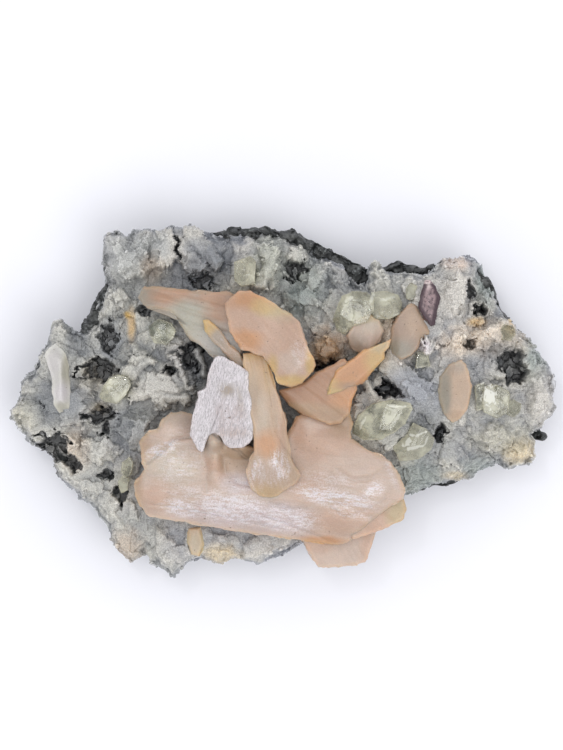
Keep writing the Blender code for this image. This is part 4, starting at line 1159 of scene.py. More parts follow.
def within(x, y, outline):
    """Whether each point is inside the outline, by counting the edges it crosses."""
    inside = np.zeros(np.shape(x), bool)
    corners = np.array(outline, float)
    for (ax, ay), (bx, by) in zip(corners, np.roll(corners, -1, 0)):
        crosses = (ay > y) != (by > y)
        at = ax + (y - ay) / (by - ay if by != ay else 1e-9) * (bx - ax)
        inside ^= crosses & (x < at)
    return inside


def oval(x, y, shape):
    """Distance from the middle of a turned oval, 1 on its border."""
    cx, cy, long, wide, turn = shape
    c, s = math.cos(math.radians(turn)), math.sin(math.radians(turn))
    dx, dy = x - cx, y - cy
    return np.hypot((dx * c + dy * s) / long, (dy * c - dx * s) / wide)


def fading(far, whole=1.6, slope=1.2):
    """whole - slope * far, held between 0 and 1: full near a middle, gone past its border."""
    return np.clip(whole - slope * far, 0, 1)


def spots(x, y, rows, rough, width):
    """The greatest share of any row's oval at each place, with borders torn by rough."""
    most = np.zeros(np.shape(x))
    for *shape, share in rows:
        most = np.maximum(most, share * step(1 - oval(x, y, shape) - rough, width))
    return most


def flat(x, y):
    """The places as points at level 0, for noise that doesn't change with height."""
    return np.stack([x, y, 0 * x], -1)


# colour and pieces


def toward(colour, other, share):
    """The colour moved a share of the way to another."""
    return colour * (1 - share) + np.array(other) * share


def overlaid(colour, x, y, rows, rough, slope, light=1.0):
    """The colour with each row's colour laid over it, fading with the distance.

    rough tears the borders, slope is how fast they fade, and light makes the rows' colours
    brighter or darker.
    """
    for middle_x, middle_y, reach_x, reach_y, tint, share in rows:
        far = np.hypot((x - middle_x) / reach_x, (y - middle_y) / reach_y) + rough
        here = share * fading(far, 1.6, slope)[:, None]
        colour = toward(colour, np.array(tint) * light, here)
    return colour


def placed(name, data):
    """An object with this mesh, lamp or camera, in the scene."""
    obj = bpy.data.objects.new(name, data)
    bpy.context.scene.collection.objects.link(obj)
    return obj


# how Blender stores a value of the points, by how many numbers it has
STORED = {1: ("FLOAT", "value"), 3: ("FLOAT_VECTOR", "vector"), 4: ("FLOAT_COLOR", "color")}


def piece(name, points, faces, material, slot, nodes, sharp=None, **fields):
    """A mesh object from arrays, riding on the body and standing for its nodes.

    sharp is the angle in degrees from which an edge stays sharp. fields are values of
    the points that the material reads.
    """
    mesh = bpy.data.meshes.new(name)
    mesh.vertices.add(len(points))
    mesh.vertices.foreach_set("co", (points * MM).astype(np.float32).ravel())
    mesh.loops.add(faces.size)
    mesh.loops.foreach_set("vertex_index", faces.astype(np.int32).ravel())
    mesh.polygons.add(len(faces))
    mesh.polygons.foreach_set("loop_start", np.arange(0, faces.size, 3, dtype=np.int32))
    mesh.update(calc_edges=True)
    mesh.validate()
    for field, values in fields.items():
        if field == "tint":
            values = np.column_stack([values, np.ones(len(values))])
        kind, key = STORED[values.size // len(values)]
        made = mesh.attributes.new(field, kind, "POINT")
        made.data.foreach_set(key, values.astype(np.float32).ravel())
    mesh.shade_smooth()
    if sharp:
        mesh.set_sharp_from_angle(angle=math.radians(sharp))
    mesh.materials.append(material)
    obj = placed(name, mesh)
    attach(obj, "root")
    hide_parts(*nodes)


class Look:
    """A material's node tree, written with a line for each node.

    The arguments of the methods are sockets of other nodes or plain values. Scales are
    per metre, since the places that the nodes read are in metres.
    """

    def __init__(self, name, **values):
        self.material = bpy.data.materials.new(name)
        self.material.use_nodes = True
        self.tree = self.material.node_tree
        self.shader = self.tree.nodes["Principled BSDF"]
        for socket, value in values.items():
            self.shader.inputs[socket.replace("_", " ")].default_value = value

    def add(self, kind, settings=(), **inputs):
        """A node; inputs are values or other nodes' outputs, by socket name."""
        node = self.tree.nodes.new(kind)
        for key, value in dict(settings).items():
            setattr(node, key, value)
        for key, value in inputs.items():
            self.feed(node.inputs[key.replace("_", " ")], value)
        return node

    def feed(self, socket, value):
        """Link a node's output to the socket, or set the socket to a plain value."""
        if isinstance(value, bpy.types.NodeSocket):
            self.tree.links.new(value, socket)
        else:
            socket.default_value = value

    def place(self):
        """Where the point is in the object."""
        return self.add("ShaderNodeTexCoord").outputs["Object"]

    def field(self, name, output="Color"):
        """A value that piece() stored with the points."""
        node = self.add("ShaderNodeAttribute")
        node.attribute_name = name
        return node.outputs[output]

    def stretch(self, vector, scale):
        """The vector times a scale in each direction."""
        node = self.add("ShaderNodeMapping", Vector=vector)
        node.inputs["Scale"].default_value = scale
        return node.outputs["Vector"]

    def noise(self, vector, scale, detail=3.0, rough=0.55):
        """Cloudy noise, mostly between 0.3 and 0.7."""
        values = {"Scale": scale, "Detail": detail, "Roughness": rough}
        return self.add("ShaderNodeTexNoise", Vector=vector, **values).outputs["Fac"]

    def voronoi(self, vector, scale):
        """Distance to the nearest of random points."""
        return self.add("ShaderNodeTexVoronoi", Vector=vector, Scale=scale).outputs["Distance"]

    def ramp(self, value, low, high, a=0.0, b=1.0):
        """A number that goes smoothly from a to b as the value goes low to high."""
        node = self.add("ShaderNodeMapRange", {"interpolation_type": "SMOOTHSTEP"})
        for key, number in zip(("From Min", "From Max", "To Min", "To Max"), (low, high, a, b)):
            node.inputs[key].default_value = number
        self.feed(node.inputs["Value"], value)
        return node.outputs["Result"]

    def times(self, a, b):
        """a times b."""
        node = self.add("ShaderNodeMath", {"operation": "MULTIPLY"})
        self.feed(node.inputs[0], a)
        self.feed(node.inputs[1], b)
        return node.outputs[0]

    def mix(self, share, a, b, kind="MIX"):
        """Colour a, with colour b laid over it by a share; 6 and 7 are its colour sockets."""
        node = self.add("ShaderNodeMix", {"data_type": "RGBA", "blend_type": kind})
        self.feed(node.inputs[0], share)
        for number, colour in ((6, a), (7, b)):
            plain = not isinstance(colour, bpy.types.NodeSocket)
            self.feed(node.inputs[number], (*colour, 1) if plain else colour)
        return node.outputs[2]

    def shaded(self, colour, value, low, high, a, b):
        """The colour times a number that goes from a to b as the value goes low to high."""
        return self.mix(1.0, colour, self.ramp(value, low, high, a, b), "MULTIPLY")

    def bump(self, height, depth, strength, under=None):
        """A normal from a height of this depth in metres, on top of another bump."""
        node = self.add("ShaderNodeBump", Height=height, Strength=strength, Distance=depth)
        if under is not None:
            self.feed(node.inputs["Normal"], under)
        return node.outputs["Normal"]

    def wear(self, **sockets):
        """Feed sockets of the shader, by name."""
        for key, value in sockets.items():
            self.feed(self.shader.inputs[key.replace("_", " ")], value)


def rock_look():
    """Near-black basalt: fine grain, pale specks, a slight blue-green cast."""
    look = Look("basalt rock", Roughness=0.6)
    at = look.place()
    grain = look.noise(at, 1100, 4)
    broad = look.noise(at, 220, 3)
    colour = look.mix(look.ramp(broad, 0.35, 0.7), (0.02, 0.022, 0.022), (0.09, 0.092, 0.09))
    colour = look.shaded(colour, grain, 0.3, 0.7, 0.6, 1.5)
    speck = look.ramp(look.noise(at, 1500, 3, 0.7), 0.56, 0.66)
    crumbs = look.ramp(look.noise(at, 200, 3), 0.44, 0.60)
    colour = look.mix(look.times(speck, crumbs), colour, (0.28, 0.30, 0.30))
    look.wear(Base_Color=colour)
    look.wear(Normal=look.bump(grain, 0.0005, 0.8))
    return look.material


def druse_look():
    """Sugary quartz: the piece's tint, mottled at grain size, with glints."""
    look = Look("sugary quartz", Roughness=0.4, IOR=1.54, Subsurface_Weight=0.9)
    look.wear(Subsurface_Radius=(1.0, 1.0, 1.0), Subsurface_Scale=0.0015)
    at = look.place()
    sugar = look.noise(at, 3200, 2, 0.6)
    crumb = look.noise(at, 900, 3)
    colour = look.shaded(look.field("tint"), sugar, 0.34, 0.66, 0.75, 1.25)
    colour = look.shaded(colour, crumb, 0.3, 0.7, 0.98, 1.02)
    look.wear(Base_Color=colour)
    chips = look.bump(look.voronoi(at, 2200), 0.0001, 0.45)
    look.wear(Normal=look.bump(crumb, 0.0003, 0.18, chips))
    return look.material


def stilbite_look(name, rough, glare_flakes, glow=(1.0, 0.6, 0.4)):
    """Waxy blades: fibres along the blade, painted pearly sheen in streaks, a few dark specks.

    The third argument is how much dull grey flakes break up a blade's painted glare, the near-white
    colour that stands for light thrown back like foil.
    """
    look = Look(name, Roughness=rough, IOR=1.5, Subsurface_Weight=0.45, Coat_Weight=0.25)
    look.wear(Subsurface_Radius=glow, Subsurface_Scale=0.0018, Coat_Roughness=0.3)
    fibre = look.field("fibre", "Vector")
    at = look.place()
    thread = look.noise(look.stretch(fibre, (0.12, 2.6, 0.8)), 1.0, 4, 0.6)
    streak = look.noise(look.stretch(fibre, (0.35, 1.6, 0.4)), 1.0, 5, 0.7)
    colour = look.shaded(look.field("tint"), look.noise(at, 160, 3), 0.3, 0.7, 0.95, 1.05)
    colour = look.shaded(colour, thread, 0.3, 0.7, 0.985, 1.015)
    grit = look.noise(at, 3000, 2, 0.7)
    colour = look.shaded(colour, grit, 0.34, 0.66, 0.94, 1.06)
    flakes = look.noise(look.stretch(fibre, (0.6, 2.8, 1.0)), 1.6, 3, 0.7)
    pearl = look.field("pearl", "Fac")
    # painted sheen: pearly light laid into the colour, which goes towards near-white in streaks where
    # the sheen share is high
    sheen = look.times(pearl, look.ramp(streak, 0.34, 0.60))
    sheen = look.times(sheen, look.ramp(grit, 0.36, 0.58, 0.25, 1.0))
    colour = look.mix(look.ramp(sheen, 0.0, 1.0, 0.0, 0.9), colour, seen(240, 234, 238))
    if glare_flakes:
        dull = look.times(look.ramp(flakes, 0.42, 0.58), look.ramp(grit, 0.36, 0.60, 0.3, 1.0))
        colour = look.mix(look.times(dull, glare_flakes), colour, seen(168, 162, 163))
    dots = look.ramp(look.noise(at, 1400, 1), 0.70, 0.75)
    dots = look.times(dots, look.ramp(look.noise(at, 110), 0.50, 0.62))
    colour = look.mix(look.times(dots, 0.7), colour, (0.14, 0.09, 0.06))
    look.wear(Base_Color=colour, Roughness=look.ramp(sheen, 0, 1, rough, 0.22))
    soft = look.bump(look.noise(at, 900, 3), 0.0002, 0.25)
    look.wear(Normal=look.bump(thread, 0.00015, 0.25, soft))
    return look.material


def apophyllite_look():
    """Clear pale yellow-green glass with inner veils, a coloured body and fine steps."""
    look = Look("apophyllite glass", Roughness=0.05, IOR=1.535)
    at = look.place()
    veil = look.noise(at, 170, 4, 0.6)
    colour = look.mix(look.ramp(veil, 0.45, 0.7), look.field("tint"), (0.93, 0.93, 0.88), "MULTIPLY")
    milk = look.field("pearl", "Fac")
    clear = look.times(look.ramp(veil, 0.42, 0.68, 0.95, 0.6), look.ramp(milk, 0, 1, 1, 0.2))
    look.wear(Base_Color=colour, Transmission_Weight=clear)
    look.wear(Normal=look.bump(look.noise(at, 420, 2), 0.0002, 0.06))
    depth = look.add("ShaderNodeVolumeAbsorption")
    depth.inputs["Color"].default_value = (0.90, 0.91, 0.70, 1)
    depth.inputs["Density"].default_value = 45
    end = look.tree.nodes["Material Output"]
    look.tree.links.new(depth.outputs[0], end.inputs["Volume"])
    return look.material


def purple_look():
    """Lilac crystal: pinkish grey grain, dark freckles and a maroon-black border."""
    look = Look("lilac crystal", Roughness=0.35, IOR=1.55)
    at = look.place()
    cloud = look.noise(at, 800, 4, 0.65)
    colour = look.shaded(look.field("tint"), cloud, 0.35, 0.65, 0.7, 1.3)
    freckle = look.ramp(look.noise(at, 1500, 2), 0.56, 0.64)
    colour = look.mix(look.times(freckle, 0.75), colour, (0.05, 0.03, 0.04))
    border = look.ramp(look.field("pearl", "Fac"), 0.1, 0.6, 0, 0.95)
    colour = look.mix(border, colour, (0.05, 0.025, 0.035))
    look.wear(Base_Color=colour, Normal=look.bump(cloud, 0.0005, 0.6))
    return look.material


# the rock


ROCK_TOP, LUMP_FOOT = 13.2, 13.0


def rock_roof(x, y):
    """A level slab with chipped lumps standing on its rim and steps between them."""
    at = flat(x, y)
    z = ROCK_TOP + 0.7 * waves(at, 9, 5)
    for cx, cy, radius, top in ROCK_LUMPS:
        far = np.hypot(x - cx, y - cy) / radius + 0.18 * waves(at, 1.5, 7)
        z = np.maximum(z, LUMP_FOOT + (top - LUMP_FOOT) * step(1.05 - far, 0.7))
    z = z + 0.75 * facets(at, 2.4, 11, 1.4) + 0.35 * facets(at, 1.1, 12, 1.4)
    return z - 1.5 * bevel(x, y, ROCK_OUTLINE, 1.2)


def rock(material):
    """The basalt slab, its rim lumps and its broken sides."""

    def torn(xy):
        return tears(flat(*xy.T), ((0.5, 2.4), (0.25, 1.0)), (15, 17))

    def side(p):
        depth = 0.8 * facets(p, 3.4, 21) + 0.4 * facets(p, 1.6, 22)
        return depth * np.clip(p[:, 2] / 2.0, 0, 1)

    points, faces = patch(
        ROCK_OUTLINE, rock_roof, lambda x, y: 0 * x, 230, 30, 0.86, torn=torn, side=side
    )
    points[:, 2] = np.maximum(points[:, 2], 0.0)
    piece("basalt_rock", points, faces, material, "basalt", ["basalt_matrix"], sharp=35)


# the crust


# mm across the crust's flat plates, and across the smaller ones on them
PLATES, CHIPS = 3.4, 1.4
# how much of the crust's level comes from its plates, its chips and the hills themselves,
# and how far the levels of neighbouring plates and chips differ
PLATE_SHARE, CHIP_SHARE, HILL_SHARE = 0.38, 0.26, 0.36
PLATE_SPREAD, CHIP_SPREAD = 1.9, 1.0
# levels of the crust between its knobs, of the foot of a knob and of a hollow's bottom
CRUST_BED, KNOB_FOOT, HOLLOW_FLOOR = 20.0, 18.8, 15.0
# how far the crust comes up short of the tops of the blades and gems bedded in it, and
# how far below a gem's top it runs under the gem
SINK, GEM_SINK, UNDER_GEM = 0.9, 4.6, 4.5
BEDDED = [
    (row.outline, min([row.top] + [place[2] for place, _ in row.facets]) - SINK)
    for row in CRYSTALS.values()
]
BEDDED += [(row.outline, row.top - GEM_SINK) for rows in GEMS.values() for row in rows]


def torn_places(x, y):
    """The places moved by waves of three sizes, which tears every border drawn on them."""
    shift = tears(flat(x, y), ((0.7, 2.6), (0.42, 1.1), (0.2, 0.5)), (61, 64))
    return x + shift[..., 0], y + shift[..., 1]


def hollow(u, v):
    """How far each place is inside a hollow, 0 to 1, and the level of its rubbly bottom."""
    depth, level = np.zeros(np.shape(u)), np.full(np.shape(u), HOLLOW_FLOOR)
    home = nearest(flat(u, v), CHIPS, 24)[1]
    chips = lattice(home, 27) + 0.3 * waves(flat(u, v), 3.5, 68)
    for *shape, bottom in PITS:
        here = step(0.75 + 0.6 * chips - oval(u, v, shape), 0.25)
        level = np.where(here > depth, bottom, level)
        depth = np.maximum(depth, here)
    return depth, level + 2.6 * lattice(home, 28) ** 2


def hills(x, y):
    """The crust's level before it is cut into plates: a bed, knobs, and crystals' collars."""
    at = flat(x, y)
    hill = CRUST_BED + 1.1 * waves(at, 10, 21) + 0.7 * waves(at, 4.5, 22)
    for *shape, top in KNOBS:
        rise = fading(oval(x, y, shape), 1.5, 1.1)
        hill = np.maximum(hill, KNOB_FOOT + (top - KNOB_FOOT) * rise)
    for outline, collar in BEDDED:
        hill = np.maximum(hill, collar - 0.8 * line_gap(x, y, outline, closed=True))
    return hill


def plate_level(x, y, size, seed, spread):
    """The hills' level at the middle of each place's plate, more or less by the spread."""
    at = flat(x, y)
    way, home = nearest(at, size, seed)
    middle = at - way * size
    return hills(middle[..., 0], middle[..., 1]) + spread * (lattice(home, seed + 9) - 0.5)


def crust_roof(x, y):
    """The crust's top: hills cut into flat plates with torn edges, hollows and fingers.

    It goes down in two steps at its border.
    """
    at = flat(x, y)
    u, v = torn_places(x, y)
    z = PLATE_SHARE * plate_level(u, v, PLATES, 23, PLATE_SPREAD)
    z = z + CHIP_SHARE * plate_level(u, v, CHIPS, 24, CHIP_SPREAD)
    z = z + HILL_SHARE * hills(u, v)
    for rows in GEMS.values():
        for row in rows:
            under = within(x, y, row.outline) & (line_gap(x, y, row.outline, closed=True) > 0.5)
            z = np.where(under, np.minimum(z, row.top - UNDER_GEM), z)
    share, level = hollow(u, v)
    z = z * (1 - share) + (level + 0.3 * waves(at, 2.0, 67)) * share
    for start_x, start_y, end_x, end_y, half, top in FINGERS:
        far = line_gap(u, v, [(start_x, start_y), (end_x, end_y)]) / half
        z = np.where(far < 1, np.maximum(z, top - 1.1 * far**2), z)
    edge = line_gap(u, v, CRUST_OUTLINE, closed=True)
    z = z - 1.8 * step(0.7 - edge, 0.9) - 0.9 * step(1.9 - edge, 0.7) * (z > 18)
    return z + 0.06 * waves(at, 1.0, 41) + 0.03 * facets(at, 0.7, 43)


# a grid over the crust, with the level at each place averaged with its neighbours' again
# and again
GRID = 0.6
WEST, EAST, SOUTH, NORTH = -75.0, 75.1, -50.0, 50.1
AVERAGINGS = 16
across, back = np.meshgrid(np.arange(WEST, EAST, GRID), np.arange(SOUTH, NORTH, GRID), indexing="ij")
levels = crust_roof(across, back)
for _ in range(AVERAGINGS):
    levels = (levels + sum(np.roll(levels, s, k) for s in (1, -1) for k in (0, 1))) / 5


def smooth_level(x, y):
    """The crust's level with everything under about 3 mm averaged out."""
    i = np.clip(((x - WEST) / GRID).astype(int), 0, levels.shape[0] - 1)
    j = np.clip(((y - SOUTH) / GRID).astype(int), 0, levels.shape[1] - 1)
    return levels[i, j]


# how much paler the crust is made than it shows, because its own grains shade it, and
# the level below which it darkens
CRUST_GLOW, DARK_BELOW = 1.42, 13.0
# how far each half of the crust goes past the middle, and the level where its side ends
SEAM_OVERLAP, HEM_LEVEL = 0.4, 9.0
# the level of the sheaf's foot with its swells, which the small shapes keep clear of
SHEAF_LEVEL = 32.0
# small shapes on the crust, and the random places tried for them
BUDS, BUD_TRIES = 500, 9000
GRAINS, GRAIN_TRIES = 5000, 60000


def crust_tint(points):
    """Cream-grey where the crust stands out and blue-grey where low, partly painted shade in its
    recesses, and near-black in holes.
    """
    x, y, z = points.T
    at = flat(x, y)
    proud = z - smooth_level(x, y) + 0.5 * waves(at, 3.0, 71)
    # darker and bluer where the crust lies low among its neighbours: partly the dark rock showing
    # through thinner quartz, partly painted shade in the recesses; the rows' colours below are
    # lightened where it stands out for the same reason
    height = step(proud, 4.2)[:, None]
    colour = toward(np.array(BLUE_GREY), CREAM_GREY, height)
    cloud = step(waves(at, 12, 72), 1.2)[:, None]
    colour = toward(colour, np.array(GREEN_GREY) * (0.7 + 0.5 * height), 0.35 * cloud)
    rough = 0.18 * waves(at, 1.6, 73)
    colour = overlaid(colour, x, y, CRUST_COLOURS, rough, 1.3, 0.90 + 0.18 * height)
    u, v = torn_places(x, y)
    _, home = nearest(flat(u, v), PLATES, 23)
    colour = colour * (0.96 + 0.08 * lattice(home, 76))[:, None]
    colour = colour * CRUST_GLOW
    hole = 0.9 * (hollow(u, v)[0] * step(17.5 - z, 4.0))[:, None]
    colour = toward(colour, np.array(HOLE) * (0.6 + 0.9 * lattice(home, 77))[:, None], hole)
    return colour * (1 - 0.3 * step(DARK_BELOW - z, 5.0))[:, None]


def clear_of_crystals(places, margin):
    """Which places are neither inside nor above-and-touching a crystal."""
    x, y, z = places.T
    keep = np.ones(len(places), bool)
    body = BODY._replace(top=SHEAF_LEVEL)
    rows = [body, *BLADES.values(), *CRYSTALS.values()] + [r for g in GEMS.values() for r in g]
    for row in rows:
        middle = np.mean(row.outline, axis=0)
        grown = middle + (np.array(row.outline) - middle) * (1 + margin / 6)
        level = plane(row)(x, y)
        keep &= ~(within(x, y, grown) & (z < level + 2.0) & (z > level - row.thickness - 0.6))
    return keep


def scatter_pieces(name, points, faces, material):
    """Copies of a small shape as two pieces of the crust, left and right of x = 0."""
    # each copy painted brighter by a random share: a painted sparkle that also lifts the shade the
    # small shapes cast on themselves
    spark = random.uniform(0.92, 1.25, len(points))[:, None, None]
    tints = crust_tint(points.reshape(-1, 3)).reshape(points.shape) * spark
    west = points[:, 0, 0] < 0
    for side_name, which in (("_left", west), ("_right", ~west)):
        shape, tint = points[which], tints[which].reshape(-1, 3)
        shift = (np.arange(len(shape)) * shape.shape[1])[:, None, None]
        piece(
            name + side_name, shape.reshape(-1, 3), (faces[None] + shift).reshape(-1, 3),
            material, "druse", ["quartz_druse"], sharp=20, tint=tint,
        )


def halved(outline, sign):
    """The part of the outline on one side of x = 0, a little past it."""
    corners = resampled(outline, 900, 0)
    line = -SEAM_OVERLAP * sign
    keep = corners[(corners[:, 0] - line) * sign >= 0]
    start = np.argmax(np.hypot(*(keep - np.roll(keep, 1, 0)).T))
    return np.roll(keep, -start, 0)


def skin(outline):
    """The crust over an outline, with broken sides that end in a ragged hem."""

    def torn(xy):
        at = flat(*xy.T)
        coarse = tears(at, ((0.55, 2.5), (0.32, 1.1)), (81, 83))
        return coarse + tears(at, ((0.14, 0.5),), (79, 80))

    def side(p):
        at = p + tears(p, ((0.5, 1.2),), (94, 95, 96))
        return 1.1 * facets(at, 2.8, 85) + 0.5 * facets(at, 1.3, 86) - 0.5

    def hem(x, y):
        at = flat(x, y)
        return HEM_LEVEL + 2.4 * waves(at, 6.0, 97) + 1.2 * waves(at, 2.2, 98)

    return patch(outline, crust_roof, hem, 262, 20, 0.95, 0, torn, side, even=14)


def buds_on(ground):
    """Angular buds, where the crust is steep or stands out."""
    places, normals = scattered(*ground, BUD_TRIES)
    lean = leaning(normals, 0.45)
    proud = places[:, 2] - smooth_level(places[:, 0], places[:, 1])
    steep = normals[:, 2] < 0.75
    keep = (normals[:, 2] > -0.3) & (places[:, 2] > 15) & (steep | (proud > 1.5))
    keep &= clear_of_crystals(places, 0.5)
    places, lean = places[keep][:BUDS], lean[keep][:BUDS]
    wide = random.uniform(0.3, 0.7, len(places))
    broad = wide * random.uniform(0.7, 1.3, len(places))
    tall = wide * random.uniform(0.8, 1.5, len(places))
    buds = copies(ball(7, 4), places, lean, np.stack([broad, wide, tall], 1))
    return buds + tears(buds, ((0.22, 0.55),), (87, 88, 89))


def grains_on(ground):
    """Six-sided quartz grains with a point at each end, mostly where the crust is steep."""
    places, normals = scattered(*ground, GRAIN_TRIES)
    keep = (normals[:, 2] > -0.2) & (places[:, 2] > 10.5) & clear_of_crystals(places, 0.1)
    keep &= (normals[:, 2] < 0.8) | (random.random(len(places)) < 0.12)
    places, normals = places[keep][:GRAINS], normals[keep][:GRAINS]
    lean = leaning(normals, 0.5)
    six = np.arange(6) * math.pi / 3
    ring = np.column_stack([np.cos(six), np.sin(six), 0.1 + 0 * six])
    wide = random.uniform(0.11, 0.26, len(places))
    tall = wide * random.uniform(1.0, 1.8, len(places))
    grain = np.vstack([[0, 0, 1], ring, [0, 0, -1]])
    return copies(grain, places, lean, np.stack([wide, wide, tall], 1))


def druse(material):
    """The crust: two halves of its skin, angular buds on it, and grains of quartz."""
    skins = [skin(halved(CRUST_OUTLINE, sign)) for sign in (-1, 1)]
    ground = joined(skins)
    buds = buds_on(ground)
    grains = grains_on(ground)
    for side_name, (points, faces) in zip(("left", "right"), skins):
        tint = crust_tint(points)
        piece(
            "druse_skin_" + side_name, points, faces, material, "druse", ["quartz_druse"],
            sharp=50, tint=tint,
        )
    scatter_pieces("druse_buds", buds, ball_faces(7, 4), material)
    scatter_pieces("quartz_grains", grains, ball_faces(6, 1), material)


# the crystals


# size in mm of the grid squares on a blade and on a gem, and the length over which their
# creases are rounded
BLADE_CELL, GEM_CELL = 0.42, 0.22
BLADE_EDGE, GEM_EDGE = 0.15, 0.03
# where the pale back tip of the lilac crystal begins, in y
LILAC_TIP = 28
# height in mm of the ledges on blades whose ledges are higher or lower than usual
LEDGES = {"orange_blade": 0.06, "long_blade": 0.16, "middle_slab": 0.14}
# the foot of the sheaf as a blade, where its underside lies, and the line along which it
# begins to slope down to the front
BODY = Blade(BODY_OUTLINE, 31.2, 0.0, 0.0, 11.0, (), -8, -0.006, 1.3)
BODY_FLOOR = 20.5
BODY_FRONT = [(-34.7, -22.6), (29.1, -26.3)]
BODY_SLOPE = 0.35
# how much paler a blade's colour is painted at its rim, for light that comes through the edge
RIM_LIGHT = 0.26


def fibres(points, row):
    """Millimetres along and across the blade's fibres, fanned out, and the level."""
    middle = np.mean(row.outline, axis=0)
    c, s = math.cos(math.radians(row.direction)), math.sin(math.radians(row.direction))
    dx, dy = points[:, 0] - middle[0], points[:, 1] - middle[1]
    along, across_it = dx * c + dy * s, dy * c - dx * s
    return np.column_stack([along, across_it / (1 + row.fan * along), points[:, 2]])


def laminae(x, y, row, seed, ridge, ledge):
    """Fine ridges and low ledges along the blade's fibres."""
    lines = fibres(flat(x, y), row)
    thread = np.stack([lines[:, 0] * 0.10, lines[:, 1], 0 * lines[:, 0]], -1)
    z = ridge * (waves(thread, 0.7, seed) + waves(thread, 1.7, seed + 1))
    return z + ledge * (plates(thread, 2.6, seed + 2, 0.5) + plates(thread, 1.4, seed + 5, 0.6) - 1)


def torn_edge(seed, depth=0.22):
    """Moves places by waves, so that an outline drawn with straight lines is uneven."""
    return lambda xy: tears(flat(*xy.T), ((depth, 2.0), (0.4 * depth, 0.7)), (seed, seed + 2))


def blade(row, seed, ridge=0.02, ledge=0.10, swell=0.4):
    """A blade: its facetted top with ridges and ledges along the fibres, and its side."""
    top, base = facetted(row, BLADE_EDGE), plane(row)

    def roof(x, y):
        z = top(x, y) + laminae(x, y, row, seed, ridge, ledge)
        return z + swell * waves(flat(x, y), 6.0, seed + 9) - bevel(x, y, row.outline, row.rim)

    def side(p):
        layer = p * (0.4, 0.4, 1.0)
        return 0.30 * facets(layer, 1.3, seed + 12) + 0.1 * waves(p, 1.0, seed + 13)

    count = grid_count(row.outline, BLADE_CELL, 44, 124)
    return patch(
        row.outline, roof, lambda x, y: base(x, y) - row.thickness, count, 10, 0.92, 1,
        torn_edge(seed + 20), side,
    )


def pearls(points):
    """Share of painted sheen at each point of the sheaf."""
    shine = np.zeros(len(points))
    for *shape, share in PAINTED_SHEEN_PLACES:
        here = share * fading(oval(points[:, 0], points[:, 1], shape))
        shine = np.maximum(shine, here)
    return shine


def body_roof(x, y):
    """The foot of the sheaf: a swelling top with creases, sloping down to the front."""
    at = flat(x, y)
    z = BODY.top + 0.35 * waves(at, 9, 401) + 0.12 * waves(at, 3, 402)
    for *shape, rise in BODY_SWELLS:
        far = oval(x, y, shape)
        z = z + rise * np.clip(1 - far * far, 0, 1) ** 1.5
    (ax, ay), (bx, by) = BODY_FRONT
    below = ay + (x - ax) * (by - ay) / (bx - ax) - y
    z = z - BODY_SLOPE * np.clip(below, 0, None)
    for depth, half, line in BODY_CREASES:
        z = z - depth * np.exp(-((line_gap(x, y, line) / half) ** 2))
    z = z + laminae(x, y, BODY, 403, 0.018, 0.06)
    return z - bevel(x, y, BODY_OUTLINE, BODY.rim)


def sheaf_body():
    """The foot of the sheaf as points and faces."""

    def side(p):
        return 0.35 * facets(p * (0.3, 0.3, 1.0), 1.3, 412) + 0.15 * waves(p, 1.5, 413)

    return patch(
        BODY_OUTLINE, body_roof, lambda x, y: BODY_FLOOR + 0 * x, 176, 12, 0.92, 1,
        torn_edge(420, 0.3), side,
    )


def coloured(name, points, outline, rim=0.12):
    """The blade's colours, with its rim painted paler and slightly yellow for the light that comes
    through the edge.
    """
    base, rows = COLOURS[name]
    x, y = points[:, 0], points[:, 1]
    rough = 0.16 * waves(flat(x, y), 3.0, 91) + 0.08 * waves(flat(x, y), 0.9, 92)
    tint = overlaid(np.tile(base, (len(points), 1)), x, y, rows, rough, 1.2)
    # painted light at the rim: paler and more yellow near the outline
    edge = rim_share(x, y, outline, 1.0)[:, None]
    return toward(tint, STRAW, rim * edge) * (1 + RIM_LIGHT * edge)


def dulled(points):
    """Share of each place's sheen that is missing, with torn borders."""
    x, y = points[:, 0], points[:, 1]
    return spots(x, y, DULL, 0.4 * waves(flat(x, y), 0.9, 441), 0.5)


def stilbites(looks):
    """The sheaf: its foot and its blades, joined, with the blade painted near-white for glare on its
    own.
    """
    points, faces = sheaf_body()
    # the second field is the share of painted sheen
    fields = coloured("body", points, BODY_OUTLINE, 0.3), pearls(points), fibres(points, BODY)
    shapes = [(points, faces, *fields)]
    for i, (name, row) in enumerate(BLADES.items()):
        points, faces = blade(row, 100 + 7 * i, ledge=LEDGES.get(name, 0.10))
        tint, fibre = coloured(name, points, row.outline), fibres(points, row)
        if name != "silver_blade":
            shapes.append((points, faces, tint, pearls(points), fibre))
            continue
        # the blade painted near-white for glare has painted sheen everywhere but its dull places
        piece(
            "glare_painted_blade_of_stilbite", points, faces, looks["glare_flakes"], "stilbite",
            ["stilbite_sheaf"], tint=tint, pearl=1.0 - dulled(points), fibre=fibre,
        )
    points, faces, tint, pearl, fibre = joined(shapes)
    piece(
        "sheaf_of_stilbite", points, faces, looks["stilbite"], "stilbite", ["stilbite_sheaf"],
        tint=tint, pearl=pearl, fibre=fibre,
    )


def lone_crystals(looks):
    """The crystals that stand apart. The first word of a name is its kind and its slot.

    Only stilbite has a yellow rim. Only the lilac crystal has a dark border, up to where
    its pale back tip begins.
    """
    for i, (name, row) in enumerate(CRYSTALS.items()):
        slot, rest = name.split("_", 1)
        points, faces = blade(row, 300 + 7 * i, ridge=0.015, ledge=0.05, swell=0.25)
        tint = coloured(name, points, row.outline, 0.1 if slot == "stilbite" else 0.0)
        border = rim_share(points[:, 0], points[:, 1], row.outline, 1.5)
        border = border * (points[:, 1] < LILAC_TIP) * (slot == "purple")
        piece(
            rest + "_of_" + slot, points, faces, looks[slot], slot, [name],
            tint=tint, pearl=border, fibre=fibres(points, row),
        )


